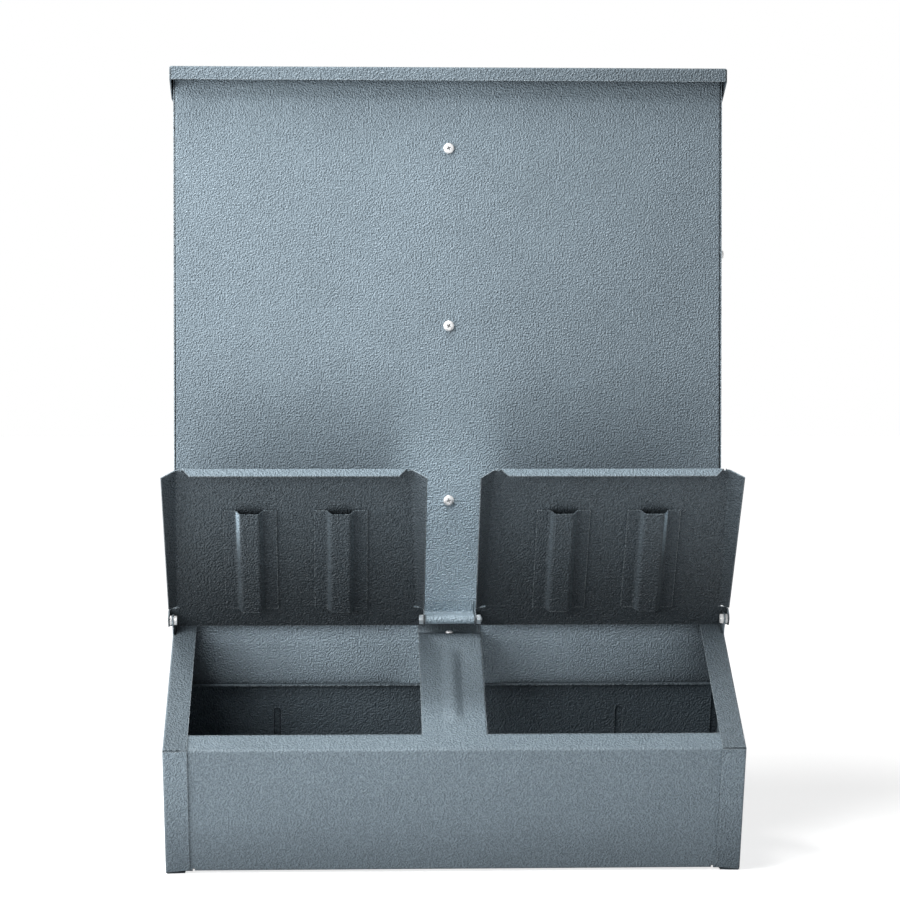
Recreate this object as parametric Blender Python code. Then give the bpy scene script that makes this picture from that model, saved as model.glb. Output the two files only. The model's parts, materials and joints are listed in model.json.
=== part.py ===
"""Two-door hog feeder in folded sheet steel.

A roofed hopper feeds a trough through an adjustable gate, and two flip lids cover the trough.
Metres, +Z up, front towards -Y. The origin is on the ground, under the middle of the feeder.
The lids stand open, leaning towards the front, as they do in use.
"""

import math

import bmesh
import bpy
from mathutils import Matrix, Vector

# Overall sizes
WIDTH = 0.600
HEIGHT = 0.854
DEPTH = 0.430
TROUGH_REACH = 0.190

# Sheet steel and fits
SHEET = 0.0012
BEND = 0.0022
GAP = 0.0003
CORNER_FIT = 0.0007
RELIEF = 0.0020
NOTCH = 0.0030
SIDE_FLANGE = 0.020
TOP_RETURN = 0.012

# Trough
TROUGH_FRONT_HEIGHT = 0.135
TROUGH_LEAN = 0.048
RIM_ANGLE = math.radians(32.4)
RIM_WIDTH = 0.025
FOOT_WIDTH = 0.020
TOE_CLEARANCE = 0.003
STRIP_WIDTH = 0.068
BEAD_WIDTH = 0.021
BEAD_HEIGHT = 0.0036
LEDGE_DEPTH = 0.0225
BEAD_INSET = 0.018
BEAD_FADE = 0.016
UPSTAND = 0.045
RAMP_ANGLE = math.radians(40.0)
RAMP_START = 0.020

# Hopper
ROOF_REAR_OVERHANG = 0.006
BEND_HEIGHT = 0.183
LIP_ANGLE = math.radians(20.0)
LIP_LENGTH = 0.099
POST_WIDTH = 0.040
POST_DEPTH = 0.020
FRONT_SCREW_SHARES = (0.448, 0.672, 0.899)
POST_END = 0.035
SIDE_SCREW_SHARE = 0.765

# Roof lid
ROOF_SIDE_OVERHANG = 0.003
ROOF_FRONT_OVERHANG = 0.020
ROOF_LIP = 0.0145
ROOF_SKIRT = 0.032
SKIRT_CHAMFER = 0.038
ROOF_PIVOT_DROP = 0.016
ROOF_PIVOT_INSET = 0.0078

# Flip lids
LID_LEAN = math.radians(35.1)
PIVOT_FORWARD = 0.028
PIVOT_ABOVE_RIM = 0.0142
PIVOT_DROP = 0.008
LID_LENGTH = 0.199
LID_DEPTH = 0.014
LID_INNER = 0.0272
EAR_OVERHANG = 0.0045
FOLD_AT_TIP = 0.0150
FOLD_AT_HINGE = 0.0085
FLANGE_SPLAY = math.radians(45.0)
FLANGE_START = 0.0115
EAR_FRONT = 0.009
LIP_CHAMFER = 0.009
HAT_WIDTH = 0.0565
HAT_BASE = 0.030
HAT_CROWN = 0.020
HAT_HEIGHT = 0.0083
HAT_START = 0.012
HAT_LENGTH = 0.133
HAT_SPREAD = 0.096
HAT_SHEET = 0.0010

# Rolled hinge knuckle
KNUCKLE_RADIUS = 0.0048
KNUCKLE_WIDTH = 0.053
KNUCKLE_LEAF = 0.014

# Feed gate
GATE_SIDE_GAP = 0.010
GATE_TOP = 0.0006
GATE_LENGTH = 0.095
GATE_GRIP = 0.0055
SLOT_SPREAD_SHARE = 0.627
SLOT_WIDTH = 0.008
SLOT_TOP = 0.029
SLOT_BOTTOM = 0.086
GATE_BOLT_DOWN = 0.0815

# Fasteners
M6_RADIUS = 0.003
M5_RADIUS = 0.0025
NUT_FLATS = 0.010
NUT_HEIGHT = 0.005
LUG_RADIUS = 0.0063
PAN_RADIUS = 0.006
PAN_HEIGHT = 0.0036
SEGMENTS = 24

# Places worked out from the sizes above
FRONT_Y = -DEPTH / 2
HOPPER_FRONT_Y = FRONT_Y + TROUGH_REACH
BACK_Y = DEPTH / 2 - ROOF_REAR_OVERHANG
HOPPER_TOP = HEIGHT - SHEET - GAP
INNER_HALF = WIDTH / 2 - SHEET - GAP
TROUGH_HALF = INNER_HALF - CORNER_FIT
LID_OUTER = WIDTH / 2 + EAR_OVERHANG
GATE_WIDTH = WIDTH - 2 * GATE_SIDE_GAP
SLOT_SPREAD = WIDTH * SLOT_SPREAD_SHARE
FRONT_SCREW_HEIGHTS = tuple(HEIGHT * share for share in FRONT_SCREW_SHARES)
SIDE_SCREW_HEIGHT = HEIGHT * SIDE_SCREW_SHARE
LAP = SHEET + GAP
RIM_UP = Vector((0, math.cos(RIM_ANGLE), math.sin(RIM_ANGLE)))
RIM_OUT = Vector((0, -math.sin(RIM_ANGLE), math.cos(RIM_ANGLE)))
RIM_FRONT = Vector((0, FRONT_Y, TROUGH_FRONT_HEIGHT))
TOE = Vector((0, FRONT_Y + TROUGH_LEAN, 0))
FRONT_DOWN = (TOE - RIM_FRONT).normalized()
FRONT_OUT = Vector((0, FRONT_DOWN.z, -FRONT_DOWN.y))
PIVOT_Y = HOPPER_FRONT_Y - PIVOT_FORWARD
RIM_AT_PIVOT = TROUGH_FRONT_HEIGHT + (PIVOT_Y - FRONT_Y) * math.tan(RIM_ANGLE)
PIVOT = Vector((0, PIVOT_Y, RIM_AT_PIVOT + PIVOT_ABOVE_RIM / math.cos(RIM_ANGLE)))
PIVOT_ALONG = (PIVOT - RIM_FRONT).dot(RIM_UP)
LIP_DOWN = Vector((0, math.sin(LIP_ANGLE), -math.cos(LIP_ANGLE)))
LIP_OUT = Vector((0, -math.cos(LIP_ANGLE), -math.sin(LIP_ANGLE)))
LIP_BEND = Vector((0, HOPPER_FRONT_Y, BEND_HEIGHT))
HOLE = M6_RADIUS + GAP
ROOF_PIVOT = Vector((0, BACK_Y - ROOF_PIVOT_INSET, HEIGHT - SHEET - ROOF_PIVOT_DROP))
AXIS_X = Vector((1, 0, 0))


def clear_scene():
    for old in list(bpy.data.objects):
        bpy.data.objects.remove(old, do_unlink=True)


def make_material(name, colour, roughness, metallic):
    material = bpy.data.materials.new(name)
    material.use_nodes = True
    shader = material.node_tree.nodes["Principled BSDF"]
    shader.inputs["Base Color"].default_value = (*colour, 1.0)
    shader.inputs["Roughness"].default_value = roughness
    shader.inputs["Metallic"].default_value = metallic
    return material


def paint(name):
    return make_material(name + "_paint", (0.20, 0.26, 0.29), 0.45, 0.3)


def zinc(name):
    return make_material(name + "_zinc", (0.72, 0.73, 0.75), 0.3, 1.0)


def add_object(name, mesh, material, parent=None):
    item = bpy.data.objects.new(name, mesh)
    bpy.context.scene.collection.objects.link(item)
    if material:
        mesh.materials.append(material)
    item.parent = parent
    return item


def add_empty(name, location, tilt=0.0):
    empty = bpy.data.objects.new(name, None)
    bpy.context.scene.collection.objects.link(empty)
    empty.location = location
    empty.rotation_euler = (tilt, 0, 0)
    return empty


def without_repeats(points):
    kept = []
    for point in points:
        if not kept or (point - kept[-1]).length > 1e-7:
            kept.append(point)
    if (kept[0] - kept[-1]).length < 1e-7:
        kept.pop()
    return kept


def corner_points(corner, before, after, inset_before, inset_after):
    """The outline near one corner, with a relief notch at the end of each flange beside it."""
    points = []
    inward_before = Vector((-before.y, before.x))
    inward_after = Vector((-after.y, after.x))
    tip_stays = True
    if inset_before:
        end = corner - before * inset_before
        points += [end, end + inward_before * NOTCH]
        if inset_before > RELIEF:
            side = end + before * RELIEF
            points += [side + inward_before * NOTCH, side]
        else:
            tip_stays = False
    if inset_after and inset_after <= RELIEF:
        tip_stays = False
    if tip_stays or not (inset_before and inset_after):
        points.append(corner)
    if inset_after:
        start = corner + after * inset_after
        if inset_after > RELIEF:
            side = start - after * RELIEF
            points += [side, side + inward_after * NOTCH]
        points += [start + inward_after * NOTCH, start]
    return points


def flanged_panel(outline, to_space, flanges):
    """Flat faces of a panel and its flanges. Flanges map an edge's number to its size."""
    corners = [Vector(point) for point in outline]
    count = len(corners)
    along = [(corners[(i + 1) % count] - corners[i]).normalized() for i in range(count)]
    panel = []
    for i, corner in enumerate(corners):
        before = flanges.get((i - 1) % count)
        after = flanges.get(i)
        inset_before = before["insets"][1] if before else 0
        inset_after = after["insets"][0] if after else 0
        panel += corner_points(corner, along[i - 1], along[i], inset_before, inset_after)
    faces = [[to_space(point) for point in without_repeats(panel)]]
    for i, flange in flanges.items():
        start = corners[i] + along[i] * flange["insets"][0]
        end = corners[(i + 1) % count] - along[i] * flange["insets"][1]
        way = flange["way"] * flange["width"]
        skews = flange.get("skews", (0, 0))
        run = (to_space(end) - to_space(start)).normalized()
        far_end = to_space(end) + way - run * skews[1]
        far_start = to_space(start) + way + run * skews[0]
        faces.append([to_space(end), to_space(start), far_start, far_end])
    return faces


def bent_strip(profile, across, start, end):
    """Faces of a strip folded along a profile and run straight from start to end."""
    faces = []
    for first, second in zip(profile, profile[1:]):
        faces.append([first + across * start, second + across * start,
                      second + across * end, first + across * end])
    return faces


def sheet_part(name, faces, outside, parent=None, thickness=SHEET, bend=BEND, finish=paint):
    """A folded sheet: the faces are its outer skin, and the first one looks towards outside."""
    build = bmesh.new()
    for points in faces:
        build.faces.new([build.verts.new(point) for point in points])
    bmesh.ops.remove_doubles(build, verts=build.verts, dist=1e-6)
    bmesh.ops.recalc_face_normals(build, faces=build.faces)
    build.faces.ensure_lookup_table()
    if build.faces[0].normal.dot(outside) < 0:
        bmesh.ops.reverse_faces(build, faces=build.faces)
    mesh = bpy.data.meshes.new(name)
    build.to_mesh(mesh)
    build.free()
    item = add_object(name, mesh, finish(name), parent)
    rounding = item.modifiers.new("bends", "BEVEL")
    rounding.width = bend
    rounding.segments = 3
    rounding.limit_method = "ANGLE"
    rounding.angle_limit = math.radians(35)
    plate = item.modifiers.new("plate", "SOLIDIFY")
    plate.thickness = thickness
    plate.offset = -1
    plate.use_even_offset = True
    plate.use_quality_normals = True
    mesh.shade_smooth()
    mesh.set_sharp_from_angle(angle=math.radians(30))
    return item


def loft_rings(rings, closed_ends):
    """A closed mesh through rings of points, each ring with as many points."""
    build = bmesh.new()
    layers = [[build.verts.new(point) for point in ring] for ring in rings]
    size = len(layers[0])
    pairs = list(zip(layers, layers[1:]))
    if not closed_ends:
        pairs.append((layers[-1], layers[0]))
    for lower, upper in pairs:
        for i in range(size):
            j = (i + 1) % size
            build.faces.new([lower[i], lower[j], upper[j], upper[i]])
    if closed_ends:
        build.faces.new(list(reversed(layers[0])))
        build.faces.new(layers[-1])
    bmesh.ops.recalc_face_normals(build, faces=build.faces)
    return build


def axis_frame(centre, axis):
    return Matrix.Translation(centre) @ Vector(axis).to_track_quat("Z", "X").to_matrix().to_4x4()


def ring_points(frame, height, radius, segments=SEGMENTS):
    points = []
    for i in range(segments):
        angle = 2 * math.pi * i / segments
        reach = radius(angle) if callable(radius) else radius
        points.append(frame @ Vector((reach * math.cos(angle), reach * math.sin(angle), height)))
    return points


def hexagon(flats):
    """Distance from the centre of a hexagon to its side, at any angle."""
    def reach(angle):
        turned = (angle + math.pi / 6) % (math.pi / 3) - math.pi / 6
        return flats / 2 / math.cos(turned)
    return reach


def turned(build, frame, profile, segments=SEGMENTS):
    """Adds a solid of revolution, its profile a list of heights and radii."""
    part = loft_rings([ring_points(frame, height, radius, segments) for height, radius in profile], True)
    mesh = bpy.data.meshes.new("turned")
    part.to_mesh(mesh)
    part.free()
    build.from_mesh(mesh)
    bpy.data.meshes.remove(mesh)


def washer_shape(build, frame, low, high, outer, bore, segments=SEGMENTS):
    """Adds a ring with a bore: a washer, a sleeve or a nut."""
    rings = [ring_points(frame, low, bore, segments), ring_points(frame, low, outer, segments),
             ring_points(frame, high, outer, segments), ring_points(frame, high, bore, segments)]
    part = loft_rings(rings, False)
    mesh = bpy.data.meshes.new("ring")
    part.to_mesh(mesh)
    part.free()
    build.from_mesh(mesh)
    bpy.data.meshes.remove(mesh)


def hardware(name, shapes, parent=None):
    """One object from the shapes: each is a function that adds a closed body to the mesh."""
    build = bmesh.new()
    for shape in shapes:
        shape(build)
    mesh = bpy.data.meshes.new(name)
    build.to_mesh(mesh)
    build.free()
    mesh.shade_smooth()
    mesh.set_sharp_from_angle(angle=math.radians(35))
    return add_object(name, mesh, zinc(name), parent)


def cut_away(item, cutter):
    cutter.hide_render = True
    cutter.display_type = "WIRE"
    cut = item.modifiers.new("cut_" + cutter.name, "BOOLEAN")
    cut.operation = "DIFFERENCE"
    cut.solver = "EXACT"
    cut.object = cutter


def drill(item, centre, axis, radius, reach=0.004, parent=None):
    """A round hole, drilled both ways from its centre."""
    frame = axis_frame(centre, axis)
    part = loft_rings([ring_points(frame, -reach, radius), ring_points(frame, reach, radius)], True)
    mesh = bpy.data.meshes.new(item.name + "_drill")
    part.to_mesh(mesh)
    part.free()
    cut_away(item, add_object(item.name + "_drill", mesh, None, parent))


def rim_point(along, above):
    return RIM_FRONT + RIM_UP * along + RIM_OUT * above


def lid_stop_tilt():
    """How far the open lid leans past square to the rim."""
    return LID_LEAN - RIM_ANGLE


def heel_length():
    """The lid's sheet behind the pivot, which lands on the rim flange and stops the lid."""
    tilt = lid_stop_tilt()
    return (PIVOT_ABOVE_RIM - GAP + PIVOT_DROP * math.sin(tilt)) / math.cos(tilt) - GAP


def side_outline():
    """The side panel's outline in Y and Z, with the round lug that holds the lid's pivot."""
    lug = []
    steps = 10
    for i in range(steps + 1):
        turn = math.pi * i / steps
        reach = RIM_UP * (LUG_RADIUS * math.cos(turn)) + RIM_OUT * (LUG_RADIUS * math.sin(turn))
        lug.append(PIVOT + reach)
    lug.insert(0, rim_point(PIVOT_ALONG + LUG_RADIUS, 0))
    lug.append(rim_point(PIVOT_ALONG - LUG_RADIUS, 0))
    hopper_foot = rim_point(TROUGH_REACH / math.cos(RIM_ANGLE), 0)
    clip = ROOF_PIVOT_INSET
    outline = [TOE, Vector((0, BACK_Y, 0)), Vector((0, BACK_Y, HOPPER_TOP - clip)),
               Vector((0, BACK_Y - clip, HOPPER_TOP)), Vector((0, HOPPER_FRONT_Y, HOPPER_TOP)),
               hopper_foot]
    outline += lug
    outline.append(RIM_FRONT)
    return [(point.y, point.z) for point in outline]


def side_panel(name, side):
    """A hopper side and a trough side in one sheet, folded in at the rim, front, foot and top."""
    plane = side * WIDTH / 2
    inward = Vector((-side, 0, 0))
    outline = side_outline()
    rim_edge = len(outline) - 2
    front_edge = len(outline) - 1
    flanges = {
        0: {"width": FOOT_WIDTH, "way": inward, "insets": (RELIEF, NOTCH), "skews": (NOTCH, NOTCH)},
        3: {"width": TOP_RETURN, "way": inward, "skews": (NOTCH, NOTCH),
            "insets": (SIDE_FLANGE, SIDE_FLANGE + NOTCH)},
        front_edge: {"width": RIM_WIDTH, "way": inward, "insets": (RELIEF, RELIEF),
                     "skews": (-RELIEF / 2, RELIEF)},
    }
    rim_start = RELIEF
    flanges[rim_edge] = {"width": RIM_WIDTH, "way": inward, "insets": (rim_start, RELIEF)}
    faces = flanged_panel(outline, lambda p: Vector((plane, p.x, p.y)), flanges)
    near = rim_point(PIVOT_ALONG - LUG_RADIUS - rim_start, 0)
    far = rim_point(RELIEF, 0)
    top = rim_point(TROUGH_REACH / math.cos(RIM_ANGLE) - NOTCH, 0)
    edge_x = Vector((plane, 0, 0))
    slit_x = inward * (SHEET + NOTCH)
    faces[-1] = [far + edge_x, near + edge_x, near + edge_x + slit_x, top + edge_x + slit_x,
                 top + edge_x + inward * RIM_WIDTH, rim_point(RELIEF / 2, 0) + edge_x + inward * RIM_WIDTH]
    panel = sheet_part(name, faces, Vector((side, 0, 0)))
    for centre in (PIVOT, ROOF_PIVOT):
        drill(panel, Vector((plane, centre.y, centre.z)), AXIS_X, HOLE)
    return panel


def side_screw_place():
    return Vector((INNER_HALF, HOPPER_FRONT_Y + SIDE_FLANGE * 0.6, SIDE_SCREW_HEIGHT))


def gate_bolt_place(side):
    return LIP_BEND + LIP_DOWN * GATE_BOLT_DOWN + AXIS_X * (side * SLOT_SPREAD / 2)


def front_panel():
    """The hopper's front, with a lower lip that leans back into the throat."""
    back = Vector((0, 1, 0))
    outline = [(-INNER_HALF, BEND_HEIGHT), (INNER_HALF, BEND_HEIGHT),
               (INNER_HALF, HOPPER_TOP), (-INNER_HALF, HOPPER_TOP)]
    flanges = {
        0: {"width": LIP_LENGTH, "way": LIP_DOWN, "insets": (0, 0)},
        1: {"width": SIDE_FLANGE, "way": back, "insets": (3 * NOTCH, 2 * NOTCH),
            "skews": (NOTCH, NOTCH)},
        2: {"width": TOP_RETURN, "way": back, "skews": (NOTCH, NOTCH),
            "insets": (SIDE_FLANGE + NOTCH, SIDE_FLANGE + NOTCH)},
        3: {"width": SIDE_FLANGE, "way": back, "insets": (2 * NOTCH, 3 * NOTCH),
            "skews": (NOTCH, NOTCH)},
    }
    faces = flanged_panel(outline, lambda p: Vector((p.x, HOPPER_FRONT_Y, p.y)), flanges)
    panel = sheet_part("front_panel", faces, Vector((0, -1, 0)))
    for height in FRONT_SCREW_HEIGHTS:
        drill(panel, Vector((0, HOPPER_FRONT_Y, height)), (0, 1, 0), HOLE)
    for side in (-1, 1):
        drill(panel, gate_bolt_place(side), LIP_OUT, HOLE)
    drill(panel, side_screw_place(), AXIS_X, M5_RADIUS + GAP)
    return panel


def back_panel():
    """The hopper's back, from the foot to just under the roof lid."""
    forward = Vector((0, -1, 0))
    swing = ROOF_PIVOT_DROP - 2 * GAP
    top = ROOF_PIVOT.z + math.sqrt(swing * swing - ROOF_PIVOT_INSET * ROOF_PIVOT_INSET)
    outline = [(-INNER_HALF, TOE_CLEARANCE), (INNER_HALF, TOE_CLEARANCE),
               (INNER_HALF, top), (-INNER_HALF, top)]
    side_flange = {"width": SIDE_FLANGE, "way": forward, "skews": (NOTCH, NOTCH)}
    flanges = {
        1: {**side_flange, "insets": (3 * NOTCH, 2 * NOTCH)},
        2: {"width": TOP_RETURN, "way": forward, "skews": (NOTCH, NOTCH),
            "insets": (SIDE_FLANGE + NOTCH, SIDE_FLANGE + NOTCH)},
        3: {**side_flange, "insets": (2 * NOTCH, 3 * NOTCH)},
    }
    faces = flanged_panel(outline, lambda p: Vector((-p.x, BACK_Y, p.y)), flanges)
    panel = sheet_part("back_panel", faces, Vector((0, 1, 0)))
    for side in (-1, 1):
        drill(panel, ROOF_PIVOT + AXIS_X * (side * INNER_HALF), AXIS_X, HOLE)
    return panel


def lapped_corner(lap):
    """Where the front and rim planes meet, both moved inwards by a lap."""
    turn = RIM_OUT.dot(FRONT_OUT)
    share = lap / (1 + turn)
    return RIM_FRONT - (RIM_OUT + FRONT_OUT) * share


def bead_rows(start, end, fade):
    return ((start, 0), (start + fade, 1), (end - fade, 1), (end, 0))


def trough_front():
    """The trough's front, its rim and the beaded centre strip, cut and folded from one sheet."""
    corner = lapped_corner(LAP)
    bottom = corner + FRONT_DOWN * ((corner.z - TOE_CLEARANCE) / -FRONT_DOWN.z)
    half = STRIP_WIDTH / 2

    def strip_point(x, along, above=0):
        return corner + RIM_UP * along + RIM_OUT * above + AXIS_X * x

    tab_y = HOPPER_FRONT_Y - LAP
    ledge_y = tab_y - LEDGE_DEPTH
    ledge_along = (ledge_y - corner.y) / RIM_UP.y
    bead_start = RIM_WIDTH + BEAD_INSET
    bead_end = ledge_along - RIM_WIDTH
    xs = [-half] + [BEAD_WIDTH * step / 6 for step in range(-3, 4)] + [half]
    rise = [0, 0, 0.42, 0.86, 1, 0.86, 0.42, 0, 0]
    rows = []
    for along, share in bead_rows(bead_start, bead_end, BEAD_FADE):
        rows.append([strip_point(x, along, BEAD_HEIGHT * share * r) for x, r in zip(xs, rise)])
    front = [bottom - AXIS_X * TROUGH_HALF, bottom + AXIS_X * TROUGH_HALF, strip_point(TROUGH_HALF, 0),
             strip_point(half, 0), strip_point(-half, 0), strip_point(-TROUGH_HALF, 0)]
    faces = [front]
    under = Vector((0, SIDE_FLANGE, 0))
    reach = TROUGH_HALF - RIM_WIDTH - NOTCH
    faces[0] = [front[0], bottom - AXIS_X * (reach + RELIEF),
                bottom - AXIS_X * (reach + RELIEF) - FRONT_DOWN * NOTCH,
                bottom - AXIS_X * reach - FRONT_DOWN * NOTCH, bottom - AXIS_X * reach,
                bottom + AXIS_X * reach, bottom + AXIS_X * reach - FRONT_DOWN * NOTCH,
                bottom + AXIS_X * (reach + RELIEF) - FRONT_DOWN * NOTCH,
                bottom + AXIS_X * (reach + RELIEF)] + front[1:]
    faces.append([bottom - AXIS_X * reach, bottom + AXIS_X * reach,
                  bottom + AXIS_X * reach + under, bottom - AXIS_X * reach + under])
    for side in (-1, 1):
        faces.append([strip_point(side * half, 0), strip_point(side * TROUGH_HALF, 0),
                      strip_point(side * TROUGH_HALF, RIM_WIDTH), strip_point(side * half, RIM_WIDTH)])
    faces.append([strip_point(-half, 0), strip_point(half, 0), strip_point(half, RIM_WIDTH)]
                 + list(reversed(rows[0])) + [strip_point(-half, RIM_WIDTH)])
    for lower, upper in zip(rows, rows[1:]):
        for i in range(len(xs) - 1):
            faces.append([lower[i], lower[i + 1], upper[i + 1], upper[i]])
    ledge_front = [strip_point(-half, ledge_along), strip_point(half, ledge_along)]
    faces.append(rows[-1] + list(reversed(ledge_front)))
    ledge_back = [point + Vector((0, LEDGE_DEPTH, 0)) for point in ledge_front]
    faces.append(ledge_front + list(reversed(ledge_back)))
    tab_height = PIVOT.z + KNUCKLE_RADIUS - SHEET - GAP - ledge_back[0].z
    tab_top = [point + Vector((0, 0, tab_height)) for point in ledge_back]
    faces.append(ledge_back + list(reversed(tab_top)))
    panel = sheet_part("trough_front", faces, FRONT_OUT)
    drill(panel, strip_screw_place(), (0, 0, 1), M5_RADIUS + GAP)
    return panel


def strip_screw_place():
    corner = lapped_corner(LAP)
    ledge_y = HOPPER_FRONT_Y - LAP - LEDGE_DEPTH
    ledge_z = corner.z + (ledge_y - corner.y) * math.tan(RIM_ANGLE)
    return Vector((0, ledge_y + 0.007, ledge_z))


def ramp_profile():
    """The trough's floor and feed ramp, seen from the side, along their upper face."""
    deep = lapped_corner(3 * SHEET + 2 * GAP)
    floor_z = TOE_CLEARANCE + 2 * SHEET + GAP
    front = deep + FRONT_DOWN * ((deep.z - floor_z) / -FRONT_DOWN.z)
    start = Vector((0, HOPPER_FRONT_Y - RAMP_START, floor_z))
    rear_y = BACK_Y - 2 * SHEET - GAP
    top = Vector((0, rear_y, floor_z + (rear_y - start.y) * math.tan(RAMP_ANGLE)))
    return [front - FRONT_DOWN * UPSTAND, front, start, top, top + Vector((0, 0, SIDE_FLANGE))]


def feed_ramp():
    half = INNER_HALF - BEND
    faces = bent_strip(ramp_profile(), AXIS_X, -half, half)
    return sheet_part("feed_ramp", faces, Vector((0, 1, 1)))


def centre_post():
    """A channel inside the hopper that stiffens the wide front panel."""
    front = HOPPER_FRONT_Y + SHEET + GAP
    low = FRONT_SCREW_HEIGHTS[0] - POST_END
    high = FRONT_SCREW_HEIGHTS[-1] + POST_END
    half = POST_WIDTH / 2
    profile = [Vector((-half, front + POST_DEPTH, 0)), Vector((-half, front, 0)),
               Vector((half, front, 0)), Vector((half, front + POST_DEPTH, 0))]
    faces = bent_strip(profile, Vector((0, 0, 1)), low, high)
    post = sheet_part("centre_post", faces[1:2] + faces[:1] + faces[2:], Vector((0, -1, 0)))
    for height in FRONT_SCREW_HEIGHTS:
        drill(post, Vector((0, front, height)), (0, 1, 0), HOLE)
    return post


def hinge_knuckle():
    """A leaf welded to the hopper's front, its free edge rolled round the lids' hinge bolt."""
    face_y = HOPPER_FRONT_Y - LAP
    level = PIVOT.z + KNUCKLE_RADIUS
    profile = [Vector((0, face_y, level + KNUCKLE_LEAF)), Vector((0, face_y, level))]
    steps = 15
    for i in range(steps):
        angle = math.radians(90 + 20 * i)
        profile.append(PIVOT + Vector((0, math.cos(angle), math.sin(angle))) * KNUCKLE_RADIUS)
    faces = bent_strip(profile, AXIS_X, -KNUCKLE_WIDTH / 2, KNUCKLE_WIDTH / 2)
    return sheet_part("hinge_knuckle", faces, Vector((0, -1, 0)))


def pan_head(build, frame, radius, height, shank, length):
    """A domed screw head with its shank. The head's underside is at height 0."""
    dome = [(0, radius), (height * 0.35, radius), (height * 0.7, radius * 0.86),
            (height * 0.92, radius * 0.6), (height, radius * 0.3)]
    turned(build, frame, [(-length, shank), (0, shank)] + dome)


def front_fasteners():
    under_head = HOPPER_FRONT_Y - GAP
    nut_face = HOPPER_FRONT_Y + 2 * SHEET + 2 * GAP
    length = nut_face + NUT_HEIGHT + 0.002 - under_head
    screws = []
    nuts = []
    for height in FRONT_SCREW_HEIGHTS:
        head = axis_frame(Vector((0, under_head, height)), (0, -1, 0))
        nut = axis_frame(Vector((0, nut_face, height)), (0, 1, 0))
        screws.append(lambda b, f=head: pan_head(b, f, PAN_RADIUS, PAN_HEIGHT, M6_RADIUS, length))
        nuts.append(lambda b, f=nut: washer_shape(b, f, 0, NUT_HEIGHT, hexagon(NUT_FLATS), HOLE))
    for place, screw, nut in zip(("lower", "middle", "upper"), screws, nuts):
        hardware(place + "_front_screw", [screw])
        hardware(place + "_front_nut", [nut])


def side_fastener():
    place = side_screw_place()
    head = axis_frame(Vector((WIDTH / 2 + GAP, place.y, place.z)), (1, 0, 0))
    inner = INNER_HALF - LAP
    nut = axis_frame(Vector((inner, place.y, place.z)), (-1, 0, 0))
    length = WIDTH / 2 + GAP - inner + NUT_HEIGHT
    hardware("side_screw", [lambda b: pan_head(b, head, 0.0048, 0.0035, M5_RADIUS, length)])
    hardware("side_screw_nut", [lambda b: washer_shape(b, nut, 0, 0.004, hexagon(0.008),
                                                       M5_RADIUS + GAP)])


def strip_fastener():
    place = strip_screw_place()
    head = axis_frame(place + Vector((0, 0, GAP)), (0, 0, 1))
    nut = axis_frame(place - Vector((0, 0, LAP)), (0, 0, -1))
    hardware("strip_screw", [lambda b: pan_head(b, head, 0.0042, 0.0026, M5_RADIUS, 0.008)])
    hardware("strip_screw_nut", [lambda b: washer_shape(b, nut, 0, 0.004, hexagon(0.008),
                                                        M5_RADIUS + GAP)])


def hinge_fasteners():
    """The long bolt through the knuckle and both lids' inner ears, and its lock nut."""
    ear_inside = LID_INNER + SHEET + GAP
    end = ear_inside + NUT_HEIGHT + 0.0015
    profile_frame = axis_frame(PIVOT, AXIS_X)

    def bolt(build):
        hexhead = hexagon(NUT_FLATS)
        rings = [(-ear_inside - 0.0045, lambda a: hexhead(a) * 0.9), (-ear_inside - 0.004, hexhead),
                 (-ear_inside, hexhead), (-ear_inside, M6_RADIUS), (end, M6_RADIUS)]
        turned(build, profile_frame, rings)

    hardware("hinge_bolt", [bolt])
    hardware("hinge_lock_nut", [lambda b: washer_shape(b, profile_frame, ear_inside,
                                                       ear_inside + NUT_HEIGHT,
                                                       hexagon(NUT_FLATS), HOLE)])


def pivot_fasteners():
    """Each side's pivot stud: head inside, thin nut outside, and the lid's ear on its end."""
    inside = INNER_HALF
    nut_start = WIDTH / 2 + GAP
    nut_end = LID_OUTER - SHEET - GAP
    bolts = []
    nuts = []
    for side in (-1, 1):
        frame = axis_frame(PIVOT, AXIS_X * side)

        def bolt(build, frame=frame):
            head = hexagon(NUT_FLATS)
            turned(build, frame, [(inside - 0.0035, lambda a: head(a) * 0.9),
                                  (inside - 0.003, head), (inside, head),
                                  (inside, M6_RADIUS), (LID_OUTER + 0.0008, M6_RADIUS)])

        bolts.append(bolt)
        nuts.append(lambda b, f=frame: washer_shape(b, f, nut_start, nut_end,
                                                    hexagon(NUT_FLATS), HOLE))
    for place, bolt, nut in zip(("left", "right"), bolts, nuts):
        hardware(place + "_pivot_bolt", [bolt])
        hardware(place + "_pivot_nut", [nut])


def roof_fasteners():
    """The roof lid's two pivot screws, through skirt, side panel and back flange."""
    outside = WIDTH / 2 + ROOF_SIDE_OVERHANG + GAP
    inside = INNER_HALF - LAP
    screws = []
    nuts = []
    for side in (-1, 1):
        frame = axis_frame(ROOF_PIVOT + AXIS_X * (side * outside), AXIS_X * side)
        nut = axis_frame(ROOF_PIVOT + AXIS_X * (side * inside), AXIS_X * -side)
        length = outside - inside + NUT_HEIGHT + 0.002
        screws.append(lambda b, f=frame: pan_head(b, f, PAN_RADIUS, 0.003, M6_RADIUS, length))
        nuts.append(lambda b, f=nut: washer_shape(b, f, 0, NUT_HEIGHT, hexagon(NUT_FLATS), HOLE))
    for place, screw, nut in zip(("left", "right"), screws, nuts):
        hardware(place + "_roof_screw", [screw])
        hardware(place + "_roof_nut", [nut])


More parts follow.
